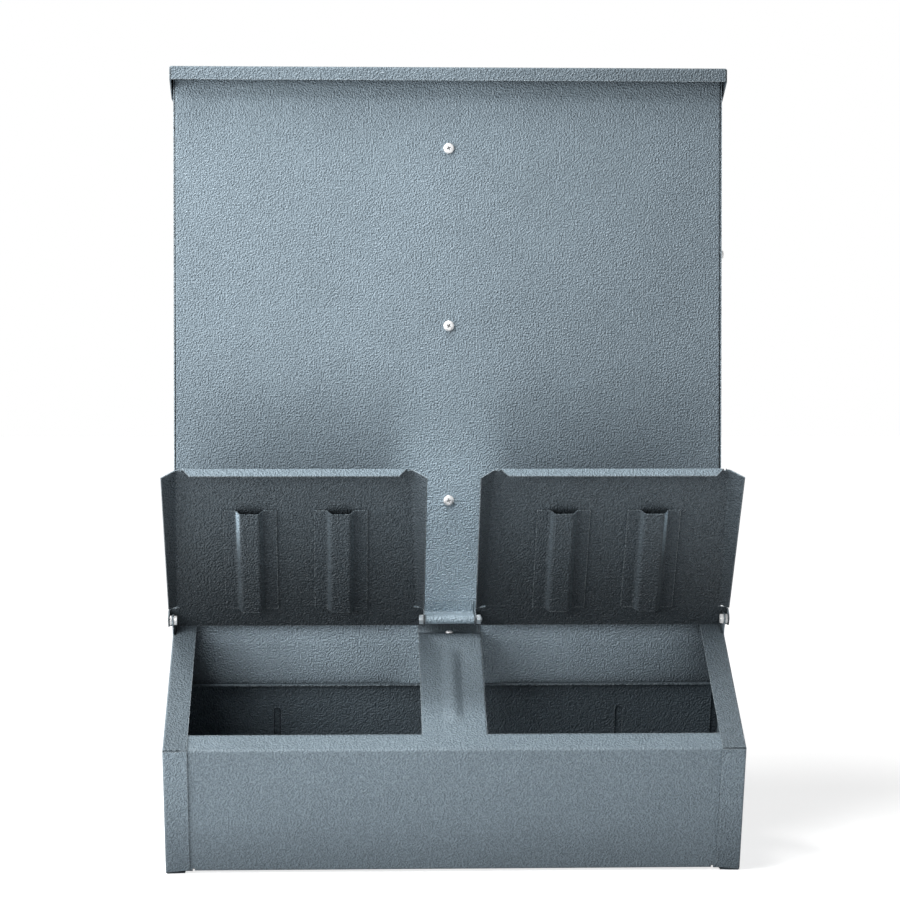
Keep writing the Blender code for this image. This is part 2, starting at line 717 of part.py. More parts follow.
def gate_fasteners():
    """Carriage bolts through the lip, with washers and wing nuts that clamp the gate."""
    gate_front = 2 * GAP + SHEET
    washer = 0.0012
    bolts = []
    washers = []
    for side in (-1, 1):
        frame = axis_frame(gate_bolt_place(side), LIP_OUT)

        def bolt(build, frame=frame):
            back = -SHEET - GAP
            turned(build, frame, [(back - 0.0025, 0.003), (back - 0.0018, 0.0056), (back, 0.0065),
                                  (back, M6_RADIUS), (0.016, M6_RADIUS)])

        bolts.append(bolt)
        washers.append(lambda b, f=frame: washer_shape(b, f, gate_front, gate_front + washer,
                                                       0.0065, HOLE))
    for place, bolt, washer_ring in zip(("left", "right"), bolts, washers):
        hardware(place + "_gate_bolt", [bolt])
        hardware(place + "_gate_washer", [washer_ring])
    for name, side in (("left_wing_nut", -1), ("right_wing_nut", 1)):
        wing_nut(name, gate_bolt_place(side), gate_front + washer + GAP)


def wing_nut(name, place, base):
    """A wing nut whose origin lies on its bolt's axis."""
    turn = add_empty(name + "_axis", place)
    turn.rotation_euler = LIP_OUT.to_track_quat("Z", "X").to_euler()
    flat = Matrix.Identity(4)

    def hub(build):
        rings = [ring_points(flat, base, HOLE), ring_points(flat, base, 0.0056),
                 ring_points(flat, base + 0.0065, 0.0046), ring_points(flat, base + 0.0065, HOLE)]
        part = loft_rings(rings, False)
        mesh = bpy.data.meshes.new("hub")
        part.to_mesh(mesh)
        part.free()
        build.from_mesh(mesh)

    nut = hardware(name, [hub], turn)
    for side in (-1, 1):
        rings = []
        for out, low, high, half in ((0.0042, 0.001, 0.006, 0.0014), (0.008, 0.004, 0.009, 0.0012),
                                     (0.0115, 0.0065, 0.0125, 0.001), (0.0128, 0.009, 0.0122, 0.0008)):
            rings.append([Vector((side * out, -half, base + low)), Vector((side * out, half, base + low)),
                          Vector((side * out, half, base + high)),
                          Vector((side * out, -half, base + high))])
        part = loft_rings(rings, True)
        mesh = bpy.data.meshes.new(name + "_wing")
        part.to_mesh(mesh)
        part.free()
        wing = add_object(name + "_wing", mesh, None, turn)
        wing.hide_render = True
        wing.display_type = "WIRE"
        join = nut.modifiers.new("wing", "BOOLEAN")
        join.operation = "UNION"
        join.solver = "EXACT"
        join.object = wing
    return nut


def feed_gate():
    """The plate that slides down over the throat, with a grip folded forward at its top."""
    runner = add_empty("gate_slide", LIP_BEND)
    half = GATE_WIDTH / 2

    def face_point(x, down, out):
        return AXIS_X * x + LIP_DOWN * down + LIP_OUT * (GAP + SHEET + out)

    profile = [face_point(0, GATE_TOP, GATE_GRIP), face_point(0, GATE_TOP, 0),
               face_point(0, GATE_TOP + GATE_LENGTH, 0)]
    faces = bent_strip(profile, AXIS_X, -half, half)
    gate = sheet_part("feed_gate", [faces[1], faces[0]], LIP_OUT, runner)
    for side in (-1, 1):
        top = face_point(side * SLOT_SPREAD / 2, SLOT_TOP + SLOT_WIDTH / 2, 0)
        bottom = face_point(side * SLOT_SPREAD / 2, SLOT_BOTTOM - SLOT_WIDTH / 2, 0)
        slot(gate, top, bottom, SLOT_WIDTH / 2, runner)
    return gate


def slot(item, first, second, radius, parent):
    """A slot with round ends, cut square to the feed gate."""
    rings = []
    for out in (-0.004, 0.004):
        points = []
        steps = 12
        for centre, start in ((first, 0), (second, math.pi)):
            for i in range(steps + 1):
                angle = start + math.pi * i / steps
                points.append(centre + AXIS_X * (radius * math.cos(angle))
                              - LIP_DOWN * (radius * math.sin(angle)) + LIP_OUT * out)
        rings.append(points)
    part = loft_rings(rings, True)
    mesh = bpy.data.meshes.new(item.name + "_slot")
    part.to_mesh(mesh)
    part.free()
    cut_away(item, add_object(item.name + "_slot", mesh, None, parent))


def roof_lid():
    """The rain roof: a shallow tray, hinged at the back on its side skirts."""
    hinge = add_empty("roof_hinge", ROOF_PIVOT)
    half = WIDTH / 2 + ROOF_SIDE_OVERHANG
    front = HOPPER_FRONT_Y - ROOF_FRONT_OVERHANG
    rear = DEPTH / 2
    outline = [(-half, front), (half, front), (half, rear), (-half, rear)]
    down = Vector((0, 0, -1))
    flanges = {
        0: {"width": ROOF_LIP, "way": down, "insets": (RELIEF, RELIEF)},
        1: {"width": ROOF_SKIRT, "way": down, "insets": (RELIEF, NOTCH)},
        3: {"width": ROOF_SKIRT, "way": down, "insets": (NOTCH, RELIEF)},
    }
    to_space = (lambda p: Vector((p.x, p.y, HEIGHT)) - ROOF_PIVOT)
    faces = flanged_panel(outline, to_space, flanges)
    for number, side in ((2, 1), (3, -1)):
        x = side * half
        skirt = [(front + RELIEF, HEIGHT), (front + RELIEF, HEIGHT - ROOF_LIP),
                 (front + SKIRT_CHAMFER, HEIGHT - ROOF_SKIRT), (rear - NOTCH, HEIGHT - ROOF_SKIRT),
                 (rear - NOTCH, HEIGHT)]
        faces[number] = [Vector((x, y, z)) - ROOF_PIVOT for y, z in skirt]
    roof = sheet_part("roof_lid", faces, Vector((0, 0, 1)), hinge)
    for side in (-1, 1):
        drill(roof, AXIS_X * (side * half), AXIS_X, HOLE, 0.003, hinge)
    return roof


def lid_outline(heel, tip):
    """The lid's flat outline for the right-hand lid: X across, Y from the pivot to the lip."""
    ear = EAR_FRONT + RELIEF
    return [(LID_INNER, -heel), (LID_OUTER, -heel), (LID_OUTER, ear),
            (LID_OUTER - FOLD_AT_HINGE, ear), (LID_OUTER - FOLD_AT_TIP, tip),
            (LID_INNER + FOLD_AT_TIP, tip), (LID_INNER + FOLD_AT_HINGE, ear), (LID_INNER, ear)]


def ear_faces(x, heel, inward):
    """One ear: a tab folded square to the lid, rounded about the pivot."""
    low = -heel + RELIEF
    radius = EAR_FRONT - 0.001
    points = [Vector((x, EAR_FRONT, -PIVOT_DROP)), Vector((x, low, -PIVOT_DROP))]
    steps = 8
    for i in range(steps + 1):
        angle = math.pi * 0.80 - math.pi * 0.80 * i / steps
        points.append(Vector((x, radius * math.cos(angle), radius * math.sin(angle) * 0.75)))
    return points


def side_flange_faces(fold_low, fold_high, outward):
    """A splayed side flange. Its free edge runs level with the ears."""
    run = (fold_high - fold_low).normalized()
    square = Vector((run.y, -run.x, 0))
    if square.x * outward < 0:
        square = -square
    way = square * math.cos(FLANGE_SPLAY) + Vector((0, 0, math.sin(FLANGE_SPLAY)))
    start = fold_low + run * (FLANGE_START - EAR_FRONT)
    end = fold_high - run * RELIEF
    low_width = (FOLD_AT_HINGE - GAP) / math.cos(FLANGE_SPLAY)
    high_width = (FOLD_AT_TIP - GAP) / math.cos(FLANGE_SPLAY)
    return [end, start, start + way * low_width + run * RELIEF, end + way * high_width]


def flip_lid(name, side):
    """A trough lid: a tray of folded sheet, hung by two ears, with two hat stiffeners."""
    hinge = add_empty(name + "_hinge", PIVOT, math.pi / 2 + LID_LEAN)
    heel = heel_length()
    tip = LID_LENGTH
    base = -PIVOT_DROP
    outline = lid_outline(heel, tip)
    fold_low = {1: Vector((*outline[3], base)), -1: Vector((*outline[6], base))}
    fold_high = {1: Vector((*outline[4], base)), -1: Vector((*outline[5], base))}
    start_inset = FLANGE_START - EAR_FRONT
    inward = Vector((0, 0, 1))
    flanges = {
        1: {"width": LID_DEPTH, "way": inward, "insets": (RELIEF, RELIEF)},
        3: {"width": LID_DEPTH, "way": inward, "insets": (start_inset, RELIEF)},
        4: {"width": LID_DEPTH, "way": inward, "insets": (RELIEF * 3, RELIEF * 3),
            "skews": (LIP_CHAMFER, LIP_CHAMFER)},
        5: {"width": LID_DEPTH, "way": inward, "insets": (RELIEF, start_inset)},
        7: {"width": LID_DEPTH, "way": inward, "insets": (RELIEF, RELIEF)},
    }
    faces = flanged_panel(outline, lambda p: Vector((p.x, p.y, base)), flanges)
    faces[1] = ear_faces(LID_OUTER, heel, -1)
    faces[2] = side_flange_faces(fold_low[1], fold_high[1], 1)
    faces[4] = side_flange_faces(fold_low[-1], fold_high[-1], -1)
    faces[5] = ear_faces(LID_INNER, heel, 1)
    faces = [[Vector((side * p.x, p.y, p.z)) for p in points] for points in faces]
    lid = sheet_part(name, faces, Vector((0, 0, -1)), hinge)
    for x in (LID_INNER, LID_OUTER):
        drill(lid, AXIS_X * (side * x), AXIS_X, HOLE, 0.003, hinge)
    middle = side * (LID_INNER + LID_OUTER) / 2
    for number, shift in (("outer", side), ("inner", -side)):
        stiffener(name + "_stiffener_" + number, middle + shift * HAT_SPREAD / 2, hinge)
    return lid


def stiffener(name, centre, hinge):
    """A pressed hat section, spot welded to the lid's inner face."""
    seat = -PIVOT_DROP + SHEET + GAP
    foot = seat + HAT_SHEET
    crown = seat + HAT_HEIGHT
    halves = (HAT_WIDTH / 2, HAT_BASE / 2, HAT_CROWN / 2)
    levels = (foot, foot, crown)
    profile = [Vector((centre - half, 0, level)) for half, level in zip(halves, levels)]
    profile += [Vector((centre + half, 0, level)) for half, level in zip(halves[::-1], levels[::-1])]
    faces = bent_strip(profile, Vector((0, 1, 0)), HAT_START, HAT_START + HAT_LENGTH)
    return sheet_part(name, faces, Vector((0, 0, 1)), hinge, HAT_SHEET, 0.0018)


def build():
    clear_scene()
    side_panel("left_side_panel", -1)
    right = side_panel("right_side_panel", 1)
    place = side_screw_place()
    drill(right, Vector((WIDTH / 2, place.y, place.z)), AXIS_X, M5_RADIUS + GAP)
    front_panel()
    back_panel()
    trough_front()
    feed_ramp()
    centre_post()
    hinge_knuckle()
    front_fasteners()
    side_fastener()
    strip_fastener()
    hinge_fasteners()
    pivot_fasteners()
    roof_fasteners()
    feed_gate()
    gate_fasteners()
    roof_lid()
    flip_lid("left_lid", -1)
    flip_lid("right_lid", 1)


build()
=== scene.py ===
# %% [markdown]
# # A two-door hog feeder in hammered paint
# The feeder is folded from sheet steel: a tall hopper, a trough in front of it, two flip lids over
# the trough and a roof lid for filling. The CAD model holds every sheet at its true size, so this
# script keeps those sheets and adds what they lack: paint, finer fasteners, light and a camera.

import json
import math

import bmesh
import bpy
from mathutils import Matrix, Vector


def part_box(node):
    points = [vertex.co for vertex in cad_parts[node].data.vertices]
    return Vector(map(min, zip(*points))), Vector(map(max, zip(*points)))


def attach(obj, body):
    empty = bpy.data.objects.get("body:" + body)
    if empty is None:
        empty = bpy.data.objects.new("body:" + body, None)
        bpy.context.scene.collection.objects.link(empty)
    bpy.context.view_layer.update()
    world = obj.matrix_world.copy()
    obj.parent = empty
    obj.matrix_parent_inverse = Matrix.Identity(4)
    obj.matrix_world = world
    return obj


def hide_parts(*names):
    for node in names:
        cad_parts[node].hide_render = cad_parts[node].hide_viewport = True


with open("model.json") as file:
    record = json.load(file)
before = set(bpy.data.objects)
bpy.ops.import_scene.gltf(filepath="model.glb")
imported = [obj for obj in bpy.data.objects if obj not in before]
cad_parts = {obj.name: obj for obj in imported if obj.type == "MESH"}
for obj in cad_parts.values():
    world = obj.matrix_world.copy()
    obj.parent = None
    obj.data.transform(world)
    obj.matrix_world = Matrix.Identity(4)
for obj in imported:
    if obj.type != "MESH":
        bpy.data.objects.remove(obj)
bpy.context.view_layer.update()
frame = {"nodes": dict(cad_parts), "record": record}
nodes = frame["nodes"]

# %% [markdown]
# ## Small helpers
# A material is a tree of shader nodes. Most of them want a number, a colour or a link from another
# node, so one helper feeds a socket with any of these, and the next ones make the usual nodes.
# Writing nodes through helpers keeps a long material readable as plain arithmetic.

# %% Feed a socket, and do sums
def feed(tree, socket, value):
    """Sets a socket to a number or colour, or links another node's output to it."""
    if isinstance(value, (int, float, tuple)):
        socket.default_value = value
    elif value is not None:
        tree.links.new(value, socket)


def math_node(tree, operation, first, second=None, third=None):
    node = tree.nodes.new("ShaderNodeMath")
    node.operation = operation
    for socket, value in zip(node.inputs, (first, second, third)):
        feed(tree, socket, value)
    return node.outputs[0]


def vector_node(tree, operation, first, second=None, scale=None):
    node = tree.nodes.new("ShaderNodeVectorMath")
    node.operation = operation
    feed(tree, node.inputs[0], first)
    feed(tree, node.inputs[1], second)
    if operation == "SCALE":
        feed(tree, node.inputs["Scale"], scale)
    return node.outputs["Value" if operation in ("DOT_PRODUCT", "LENGTH") else "Vector"]


print("sums ready")

# %% [markdown]
# Three more helpers. A range turns one span of numbers into another, and stops at both ends. A mix
# blends two colours. A noise is the soft random pattern that most natural finishes start from.

# %% Ranges, mixes and noise
def map_range(tree, value, from_low, from_high, to_low=0.0, to_high=1.0, smooth=False):
    node = tree.nodes.new("ShaderNodeMapRange")
    node.interpolation_type = "SMOOTHSTEP" if smooth else "LINEAR"
    for title, number in (("Value", value), ("From Min", from_low), ("From Max", from_high),
                          ("To Min", to_low), ("To Max", to_high)):
        feed(tree, node.inputs[title], number)
    return node.outputs["Result"]


def scaled(tree, value, mask, plain, full, start=0.0, end=1.0, smooth=False):
    """Multiplies a value by plain where the mask is at start, and by full where it is at end."""
    return math_node(tree, "MULTIPLY", value,
                     map_range(tree, mask, start, end, plain, full, smooth))


def mix_colour(tree, factor, first, second):
    node = tree.nodes.new("ShaderNodeMix")
    node.data_type = "RGBA"
    for title, value in (("Factor", factor), ("A", first), ("B", second)):
        feed(tree, node.inputs[title], value)
    return node.outputs["Result"]


def noise(tree, vector, scale, detail=2.0, roughness=0.5, output="Fac"):
    node = tree.nodes.new("ShaderNodeTexNoise")
    for title, value in (("Vector", vector), ("Scale", scale), ("Detail", detail),
                         ("Roughness", roughness)):
        feed(tree, node.inputs[title], value)
    return node.outputs[output]


print("ranges, mixes and noise ready")

# %% [markdown]
# An effect that several materials share is a node group: built once, then placed in each material
# with that material's own values on its named sockets. A seed moves a pattern along, so that each
# sheet gets a stretch of it to itself.

# %% Shader groups
def start_group(name, inputs, outputs):
    group = bpy.data.node_groups.new(name, "ShaderNodeTree")
    for title, kind, value in inputs:
        socket = group.interface.new_socket(title, in_out="INPUT", socket_type=kind)
        if value is not None:
            socket.default_value = value
    for title, kind in outputs:
        group.interface.new_socket(title, in_out="OUTPUT", socket_type=kind)
    return group, group.nodes.new("NodeGroupInput"), group.nodes.new("NodeGroupOutput")


def use_group(tree, group, **values):
    node = tree.nodes.new("ShaderNodeGroup")
    node.node_tree = group
    for title, value in values.items():
        node.inputs[title].default_value = value
    return node


def seeded_place(tree, source):
    seed = tree.nodes.new("ShaderNodeCombineXYZ")
    for axis in range(3):
        tree.links.new(source.outputs["Seed"], seed.inputs[axis])
    return vector_node(tree, "ADD", source.outputs["Vector"], seed.outputs[0])


print("group helpers ready")

# %% [markdown]
# ## The hammered enamel
# Hammer paint holds a little silicone, which makes it dry into small soft bumps about two
# millimetres apart. Bright aluminium leaf gathers on their crests. Cells could give the bumps too,
# but they join into long ridges, so a noise of one size is used, with its place pushed about by a
# coarser noise. The group puts out the height of the bumps, and a mask of their crests.

# %% Grain of the enamel
GRAIN_SCALE = 560.0
WOBBLE_SCALE = 260.0
CREST_START, CREST_FULL = 0.30, 0.70

grain, source, sink = start_group(
    "enamel_grain",
    [("Vector", "NodeSocketVector", None), ("Grain Scale", "NodeSocketFloat", GRAIN_SCALE),
     ("Warp", "NodeSocketFloat", 0.0010)],
    [("Height", "NodeSocketFloat"), ("Ridge", "NodeSocketFloat")])
wobble = noise(grain, source.outputs["Vector"], WOBBLE_SCALE, 1.0, output="Color")
centred = vector_node(grain, "SUBTRACT", wobble, (0.5, 0.5, 0.5))
pushed = vector_node(grain, "SCALE", centred, scale=source.outputs["Warp"])
moved = vector_node(grain, "ADD", source.outputs["Vector"], pushed)
bumps = noise(grain, moved, source.outputs["Grain Scale"], 0.0)
grain.links.new(bumps, sink.inputs["Height"])
grain.links.new(map_range(grain, bumps, CREST_START, CREST_FULL), sink.inputs["Ridge"])
print("grain of about", round(1000 / GRAIN_SCALE, 1), "mm")

# %% [markdown]
# Flat sheet is never quite flat, and paint is never one even tone. Three noises of very different
# size give the sheet's slow waves, the slow change of tone, and a finer mottle over it. One noise
# with much detail would tie all three together, and then a wave would always carry a stain.

# %% Slow waves in sheet and paint
waves, source, sink = start_group(
    "sheet_waves",
    [("Vector", "NodeSocketVector", None), ("Seed", "NodeSocketFloat", 0.0)],
    [("Height", "NodeSocketFloat"), ("Tone", "NodeSocketFloat"), ("Mottle", "NodeSocketFloat")])
shifted = seeded_place(waves, source)
for title, scale, detail, roughness in (("Height", 4.0, 1.0, 0.4), ("Tone", 9.0, 3.0, 0.6),
                                        ("Mottle", 70.0, 4.0, 0.65)):
    waves.links.new(noise(waves, shifted, scale, detail, roughness), sink.inputs[title])
print("waves ready")

# %% [markdown]
# Folds and cut edges get a pale painted highlight, and inner corners a dark painted shade. Both
# could be painted by hand, but here they are found from the shape. A bevel normal leans away from
# the true normal near an edge, and ambient occlusion is dark in a corner, so the masks follow the
# pieces when a lid or the roof moves.

# %% Edges and corners
EDGE_SAMPLES, CORNER_SAMPLES = 4, 6
EDGE_SEEN, EDGE_FULL = 0.995, 0.80
CORNER_SEEN, CORNER_FULL = 0.95, 0.35

edges, source, sink = start_group(
    "edge_and_corner",
    [("Width", "NodeSocketFloat", 0.0012), ("Reach", "NodeSocketFloat", 0.16)],
    [("Edge", "NodeSocketFloat"), ("Corner", "NodeSocketFloat")])
rounded = edges.nodes.new("ShaderNodeBevel")
rounded.samples = EDGE_SAMPLES
edges.links.new(source.outputs["Width"], rounded.inputs["Radius"])
surface = edges.nodes.new("ShaderNodeNewGeometry")
leaning = vector_node(edges, "DOT_PRODUCT", rounded.outputs[0], surface.outputs["Normal"])
edges.links.new(map_range(edges, leaning, EDGE_SEEN, EDGE_FULL), sink.inputs["Edge"])
shade = edges.nodes.new("ShaderNodeAmbientOcclusion")
shade.samples = CORNER_SAMPLES
edges.links.new(source.outputs["Reach"], shade.inputs["Distance"])
edges.links.new(map_range(edges, shade.outputs["AO"], CORNER_SEEN, CORNER_FULL),
                sink.inputs["Corner"])
print("edge and corner masks ready")

# %% [markdown]
# ## Tools for a material
# Every material starts the same way. Patterns are placed in object space and sides are told by the
# sheet's own normal, so paint and its painted shade ride with a lid that swings. Relief is a bump:
# at this distance nobody could tell it from real bumps, which would cost millions of triangles.

# %% Start a material
def new_material(name):
    material = bpy.data.materials.new(name)
    material.use_nodes = True
    return material, material.node_tree, material.node_tree.nodes["Principled BSDF"]


def object_place(tree):
    return tree.nodes.new("ShaderNodeTexCoord").outputs["Object"]


def facing_side(tree, axis, start, end):
    """1 where the sheet's normal points along the axis, 0 where it points away."""
    normal = tree.nodes.new("ShaderNodeTexCoord").outputs["Normal"]
    return map_range(tree, vector_node(tree, "DOT_PRODUCT", normal, axis), start, end)


def bump(tree, height, strength, distance, under=None):
    node = tree.nodes.new("ShaderNodeBump")
    for title, value in (("Height", height), ("Strength", strength), ("Distance", distance),
                         ("Normal", under)):
        feed(tree, node.inputs[title], value)
    return node.outputs[0]


print("material tools ready")

# %% [markdown]
# ## Paint on the sheets
# The sheets share one paint, but light falls on each of them differently, and that light and shade
# is painted into each sheet's colour. One picture wrapped round the whole feeder would show that,
# but it would stretch at the folds. Here each sheet has a look instead: a few numbers that say what
# differs from the plain paint below.
# Sizes are in metres.
# - light_and_shade_tone is how light each sheet is painted for the light that falls on it, relief
#   how deep the grain is, fold_width how far the painted highlight goes in from a fold, and
#   softened how round the paint makes a pressed bead.
# - reach and shade_strength are how far the painted shade spreads from a corner, and how dark it
#   is.
# - shaded_side is the direction of the side that is out of the light, faces the turn from the open
#   side to that one, shaded_tone the painted shade there, and open_share the corner shade that the
#   open side still has.
# - each of height_tones is a start height, an end height and the tone there, painted shade where it
#   is below 1 and painted light where it is above.
# - shade_fade is a low height, a high height and the share of the corner shade left at the high
#   one.
# - lit is the direction of a web that catches the light, its tone, and the heights of the streak.
# - light_falloff is the side of full light, the side where it has fallen off, and the tone
#   painted there.
# - shade_cleared_middle is the distance from the middle up to which the corner shade is taken away,
#   the distance from which it is all there, and the share of it that is left in the middle.

# %% The plain look
PLAIN_LOOK = {
    "light_and_shade_tone": 1.0, "relief": 0.0019, "fold_width": 0.0012, "softened": 0.0,
    "reach": 0.10, "shade_strength": 0.6,
    "shaded_side": None, "faces": (0.0, 0.5), "shaded_tone": 1.0, "open_share": 0.25,
    "height_tones": (), "shade_fade": None, "lit": None, "light_falloff": None, "shade_cleared_middle": None}
print("a look has", len(PLAIN_LOOK), "numbers or groups of them")

# %% [markdown]
# The masks say where on a sheet an effect acts: how far across, how high up, on which side, and
# where the light streak of a web lies. They come from the place and the normal, so they need no
# unwrapping and no painting by hand.

# %% Where the effects act
LIT_START, LIT_FULL = 0.90, 0.99


def sheet_masks(tree, place, look):
    split = tree.nodes.new("ShaderNodeSeparateXYZ")
    tree.links.new(place, split.inputs[0])
    masks = {"across": split.outputs["X"], "height": split.outputs["Z"]}
    if look["shaded_side"]:
        masks["inside"] = facing_side(tree, look["shaded_side"], *look["faces"])
    if look["lit"]:
        axis, _, bright_height, faded_height = look["lit"]
        masks["lit"] = scaled(tree, facing_side(tree, axis, LIT_START, LIT_FULL), masks["height"],
                              0.0, 1.0, faded_height, bright_height, True)
    return masks


print("sheet masks ready")

# %% [markdown]
# The tone is one number that the paint's colour is multiplied by. It starts with the slow waves and
# the mottle, and each effect of the look multiplies it again, painting in light and shade. Factors
# can be stacked in any order, which mixing colour by colour wouldn't allow.

# %% Tone of the paint
NOISE_LOW, NOISE_HIGH = 0.3, 0.7
TONE_LOW, TONE_HIGH = 0.93, 1.06
MOTTLE_LOW, MOTTLE_HIGH = 0.975, 1.025


def paint_tone(tree, wave, masks, look):
    # Each sheet's tone is painted lighter or darker for the light that falls on it.
    share = look["light_and_shade_tone"]
    slow = map_range(tree, wave.outputs["Tone"], NOISE_LOW, NOISE_HIGH,
                     TONE_LOW * share, TONE_HIGH * share)
    tone = scaled(tree, slow, wave.outputs["Mottle"], MOTTLE_LOW, MOTTLE_HIGH,
                  NOISE_LOW, NOISE_HIGH)
    # A side turned away from the light is painted darker: painted shade.
    if look["shaded_side"]:
        tone = scaled(tree, tone, masks["inside"], 1.0, look["shaded_tone"])
    # Bands by height are painted darker where shade falls and lighter where light falls.
    for start_height, end_height, end_tone in look["height_tones"]:
        tone = scaled(tree, tone, masks["height"], 1.0, end_tone, start_height, end_height, True)
    if look["lit"]:
        tone = scaled(tree, tone, masks["lit"], 1.0, look["lit"][1])
    # The light's falloff towards one side is painted into the tone.
    if look["light_falloff"]:
        lit_side, dim_side, dim_tone = look["light_falloff"]
        tone = scaled(tree, tone, masks["across"], 1.0, dim_tone, lit_side, dim_side, True)
    return tone


print("tone ready")

# %% [markdown]
# Painted shade darkens and dulls the paint where two sheets meet. It could be a second shader laid
# over the paint, but a thin dark film only darkens and dulls what is under it, so one mask does:
# the shared corner mask, made weaker step by step on the open side, higher up, on a lit web and
# along the middle.

# %% Painted shade in the corners
# Painted shade: darker, duller paint wherever the corner mask finds occlusion.
def painted_corner_shade(tree, edge, masks, look):
    painted_shade = math_node(tree, "MULTIPLY", edge.outputs["Corner"], look["shade_strength"])
    if look["shaded_side"]:
        painted_shade = scaled(tree, painted_shade, masks["inside"], look["open_share"], 1.0)
    if look["shade_fade"]:
        low_height, high_height, high_share = look["shade_fade"]
        painted_shade = scaled(tree, painted_shade, masks["height"], 1.0, high_share, low_height, high_height, True)
    if look["lit"]:
        painted_shade = scaled(tree, painted_shade, masks["lit"], 1.0, 0.0)
    # Between the lids the painted shade is taken away, so that the lit middle stays light.
    if look["shade_cleared_middle"]:
        clear, full, cleared_share = look["shade_cleared_middle"]
        aside = math_node(tree, "ABSOLUTE", masks["across"])
        painted_shade = scaled(tree, painted_shade, aside, cleared_share, 1.0, clear, full, True)
    return painted_shade


print("dust ready")

# %% [markdown]
# The relief has two layers. The sheet's slow waves bend the reflections, and the grain lies on top.
# Where paint runs thick over a pressed bead, a wide bevel normal softens the fold first.

# %% Relief of the paint
WAVE_STRENGTH, WAVE_DEPTH = 0.6, 0.004
ROUND_SAMPLES = 8


def paint_relief(tree, crater, wave, look):
    fold = None
    if look["softened"]:
        rounded = tree.nodes.new("ShaderNodeBevel")
        rounded.samples = ROUND_SAMPLES
        rounded.inputs["Radius"].default_value = look["softened"]
        fold = rounded.outputs[0]
    slow = bump(tree, wave.outputs["Height"], WAVE_STRENGTH, WAVE_DEPTH, fold)
    return bump(tree, crater.outputs["Height"], 1.0, look["relief"], slow)


print("relief ready")

# %% [markdown]
# Now the paint itself. The crests of the grain are a little lighter and glossier than the valleys,
# the folds carry a pale painted highlight, and the painted shade of the corners lies over both as a
# dark, dull film. The aluminium leaf lies under binder, so the paint is hardly metallic. A faint
# coat gives the wide soft sheen.
# Leaf, binder and coat could be shaders of their own, mixed by hand, but one Principled shader
# holds them all and keeps the light that they return in balance.

# %% The painted sheet
PAINT_DARK = (0.228, 0.294, 0.343, 1.0)
PAINT_LIGHT = (0.336, 0.424, 0.487, 1.0)
# The pale fold colour is a painted highlight along folds and cut edges.
FOLD_HIGHLIGHT, FOLD_HIGHLIGHT_SHARE = (0.50, 0.57, 0.61, 1.0), 0.75
# This dark colour is painted shade, laid on where the corner mask is dark.
CORNER_SHADE_COLOUR, CORNER_SHADE_ROUGHNESS = (0.036, 0.047, 0.056, 1.0), 0.35
VALLEY_ROUGHNESS, CREST_ROUGHNESS = 0.46, 0.40
COAT, SHADED_COAT_SHARE = 0.06, 0.1
PAINT_VALUES = {"Metallic": 0.03, "Specular IOR Level": 0.30, "Coat Roughness": 0.25}


def painted(name, seed, look):
    material, tree, shader = new_material(name)
    place = object_place(tree)
    crater = use_group(tree, grain)
    wave = use_group(tree, waves, Seed=seed)
    edge = use_group(tree, edges, Reach=look["reach"], Width=look["fold_width"])
    for group in (crater, wave):
        tree.links.new(place, group.inputs["Vector"])
    masks = sheet_masks(tree, place, look)
    painted_shade = painted_corner_shade(tree, edge, masks, look)
    leaf = mix_colour(tree, crater.outputs["Ridge"], PAINT_DARK, PAINT_LIGHT)
    toned = vector_node(tree, "SCALE", leaf, scale=paint_tone(tree, wave, masks, look))
    fold_highlight = math_node(tree, "MULTIPLY", edge.outputs["Edge"], FOLD_HIGHLIGHT_SHARE)
    gloss = map_range(tree, crater.outputs["Ridge"], 0.0, 1.0, VALLEY_ROUGHNESS, CREST_ROUGHNESS)
    sheen = map_range(tree, painted_shade, 0.0, 1.0, 1.0, SHADED_COAT_SHARE)
    links = {"Base Color": mix_colour(tree, painted_shade, mix_colour(tree, fold_highlight, toned, FOLD_HIGHLIGHT),
                                      CORNER_SHADE_COLOUR),
             "Roughness": math_node(tree, "MULTIPLY_ADD", painted_shade, CORNER_SHADE_ROUGHNESS, gloss),
             "Coat Weight": math_node(tree, "MULTIPLY", sheen, COAT),
             "Normal": paint_relief(tree, crater, wave, look)}
    for title, value in {**PAINT_VALUES, **links}.items():
        feed(tree, shader.inputs[title], value)
    return material


print("paint ready")

# %% [markdown]
# A raised lid has a bright outer side and a shaded inner side. The inner side's shade is painted
# into its colour, with more painted shade in its corners and darker painted shade low down, towards
# the trough. On each outer hat stiffener, one slanted web catches the light in a short streak. A
# lamp of its own could draw that streak, but it would light the sheets around it too, so the paint
# of the web is lighter there instead, as a painted highlight.

# %% Look of the lids
LID_LOOK = {
    "light_and_shade_tone": 1.04, "relief": 0.0027, "reach": 0.16, "shade_strength": 0.95,
    "shaded_side": (0.0, -0.818, -0.575), "faces": (0.20, 0.70), "shaded_tone": 0.355,
    "height_tones": [(0.41, 0.265, 0.44)]}
OUTER_WEBS = {"left_lid_stiffener_outer": -0.825, "right_lid_stiffener_outer": 0.825}


def lid_look(name):
    if name not in OUTER_WEBS:
        return LID_LOOK
    return {**LID_LOOK, "lit": ((OUTER_WEBS[name], -0.462, -0.325), 5.0, 0.385, 0.315)}


print("lid look ready")

# %% [markdown]
# The other sheets. On the hopper's front the corner mask paints shade behind the lids. That shade
# is taken away along the middle, and the middle is painted lighter lower down, where light comes in
# between the lids; below the hinge the front is painted darker. The side panels are painted darker
# on their sloped lower part. The trough is painted darker on its inner faces, where the hopper's
# lip shades it and at its foot. The tone is painted lower towards the right, where the light falls
# off.
# These differences could be painted by hand on each sheet, but a short list is easier to compare
# with the photograph and to change.

